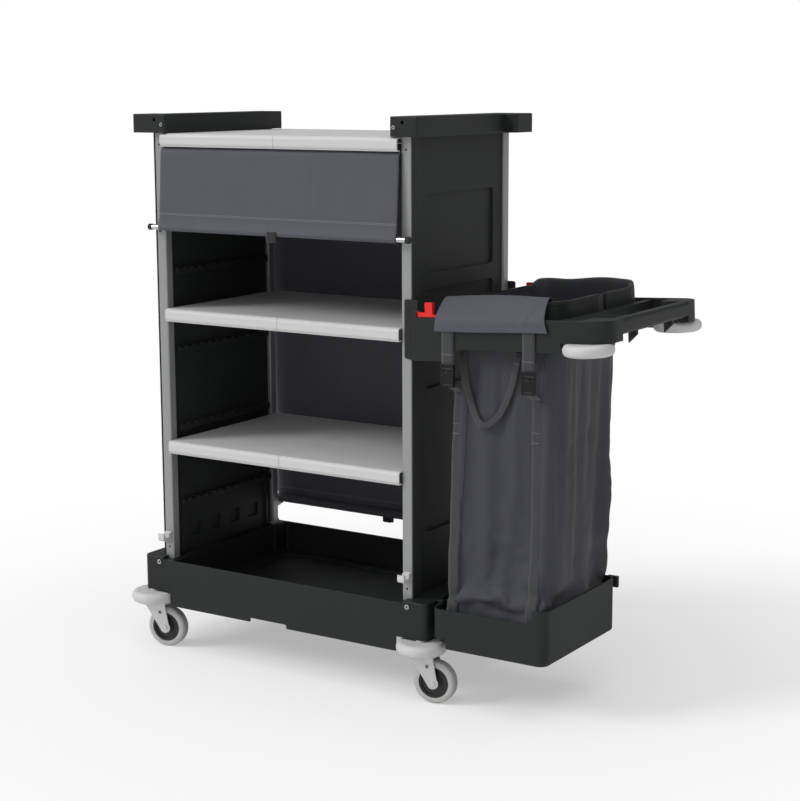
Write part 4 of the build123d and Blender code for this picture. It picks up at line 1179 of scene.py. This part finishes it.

# %% [markdown]
# ## The flap
# A flap of the bag's cloth lies over the front of the collar and hangs down in front of
# the rail. It bulges where it passes over the rim and creases at its corners.

# %% Flap
# the flap's line over the collar and down the rail: v and w in the arm's millimetres
flap_profile = [
    (-150, 34), (-166, 45), (-178, 52.5), (-190, 55), (-201, 50), (-212, 41.5), (-222, 33),
    (-231, 24), (-238.5, 15.5), (-242.5, 7), (-244.2, -2), (-245, -9), (-245.4, -15),
]
flap_u0, flap_u1 = arm_near - 17, arm_far - 7
flap_taper = 29.0
flap_rows = []
columns = 70
for k in range(len(flap_profile) * 3 - 2):
    base, part = divmod(k, 3)
    v0, w0 = flap_profile[base]
    v1, w1 = flap_profile[min(base + 1, len(flap_profile) - 1)]
    v, w = v0 + (v1 - v0) * part / 3, w0 + (w1 - w0) * part / 3
    down = k / (len(flap_profile) * 3 - 3)
    row = []
    for c in range(columns + 1):
        t = c / columns
        u = flap_u0 + (flap_u1 - flap_taper * (1 - down) - flap_u0) * t
        lift = 4.5 * math.sin(math.pi * t) * math.exp(-((down - 0.25) / 0.2) ** 2) - 1.5
        uneven = noise.noise(Vector((t * 7, down * 3, 2.2)))
        swell = 2.0 * uneven * (0.3 + down) * (1 - 0.7 * max(0.0, down - 0.6))
        off_crease = (t - 0.88) + 0.28 * (down - 0.5)
        crease_end = math.exp(-((down - 0.55) / 0.22) ** 2)
        far_crease = 3.0 * math.exp(-(off_crease / 0.025) ** 2) * crease_end
        sag = 2.0 * math.sin(math.pi * t * 1.5 + 0.6) * down
        up_by = lift - sag * 0.5 + far_crease * 0.4
        row.append(on_arm(u, v - swell - max(0.0, far_crease), w + up_by))
    flap_rows.append(row)
flap, flap_length, flap_wide = cloth_grid("bag_flap_cloth", flap_rows)
thicken(flap, 0.0016, levels=1)
# the flap's finish is the bag cloth painted lighter for the light on its upward face
dress(flap, "bag_fabric_painted_lit", "arm")
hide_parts("bag_flap")
print("flap", round(flap_wide, 3), "x", round(flap_length, 3), "m")

# %% [markdown]
# ## Room, floor and light
# The cart stands on a white floor in plain studio light: one large soft light from the
# front left, one from above, a weak one from the camera's side, and a bright surround that
# fills the shadows. Away from the cart the floor fades to plain white for the camera only.

# %% Floor
bpy.ops.object.select_all(action="DESELECT")
bpy.ops.mesh.primitive_plane_add(size=60, location=(0, 0, -0.0005))
floor = bpy.context.object
floor.name = "studio_floor"
floor_paint = bpy.data.materials.new("White floor")
floor_paint.use_nodes = True
tree = floor_paint.node_tree
paper = tree.nodes["Principled BSDF"]
paper.inputs["Base Color"].default_value = (0.9, 0.9, 0.9, 1)
paper.inputs["Roughness"].default_value = 0.9
place = node(tree, "ShaderNodeTexCoord")
far = node(tree, "ShaderNodeVectorMath", operation="LENGTH")
tree.links.new(place.outputs["Object"], far.inputs[0])
fade = node(tree, "ShaderNodeMapRange", interpolation_type="SMOOTHSTEP")
tree.links.new(far.outputs["Value"], fade.inputs["Value"])
fade.inputs["From Min"].default_value = 0.75
fade.inputs["From Max"].default_value = 2.1
fade.inputs["To Min"].default_value = 0.4
fade.inputs["To Max"].default_value = 1.0
seen_by = node(tree, "ShaderNodeLightPath")
glow = node(tree, "ShaderNodeEmission")
blank = node(tree, "ShaderNodeMixShader")
whiteness = maths(tree, "MULTIPLY", fade.outputs["Result"], seen_by.outputs["Is Camera Ray"])
tree.links.new(whiteness, blank.inputs[0])
tree.links.new(paper.outputs["BSDF"], blank.inputs[1])
tree.links.new(glow.outputs["Emission"], blank.inputs[2])
tree.links.new(blank.outputs["Shader"], tree.nodes["Material Output"].inputs["Surface"])
floor.data.materials.append(floor_paint)

# %% Lights
world = bpy.data.worlds.new("Studio")
bpy.context.scene.world = world
world.use_nodes = True
surround = world.node_tree
fill = surround.nodes["Background"]
fill.inputs["Color"].default_value = (1, 1, 1, 1)
fill.inputs["Strength"].default_value = 0.34
seen = node(surround, "ShaderNodeBackground")
seen.inputs["Color"].default_value = (1, 1, 1, 1)
seen.inputs["Strength"].default_value = 1.0
who = node(surround, "ShaderNodeLightPath")
either = node(surround, "ShaderNodeMixShader")
surround.links.new(who.outputs["Is Camera Ray"], either.inputs[0])
surround.links.new(fill.outputs[0], either.inputs[1])
surround.links.new(seen.outputs[0], either.inputs[2])
surround.links.new(either.outputs[0], surround.nodes["World Output"].inputs["Surface"])


def soft_sun(name, toward_light, spread, strength):
    """A far light as wide as a studio softbox, which lights the whole floor evenly."""
    bpy.ops.object.light_add(type="SUN", location=(0, 0, 3))
    lamp = bpy.context.object
    lamp.name = name
    lamp.data.angle = math.radians(spread)
    lamp.data.energy = strength
    lamp.rotation_euler = Vector(toward_light).to_track_quat("Z", "Y").to_euler()
    return lamp


soft_sun("front softbox", (-0.62, -0.60, 0.55), 22, 1.55)
soft_sun("camera side", (0.30, -0.90, 0.25), 60, 0.38)
soft_sun("ceiling", (0.0, -0.15, 1.0), 70, 1.2)
bpy.context.scene.view_settings.view_transform = "Standard"
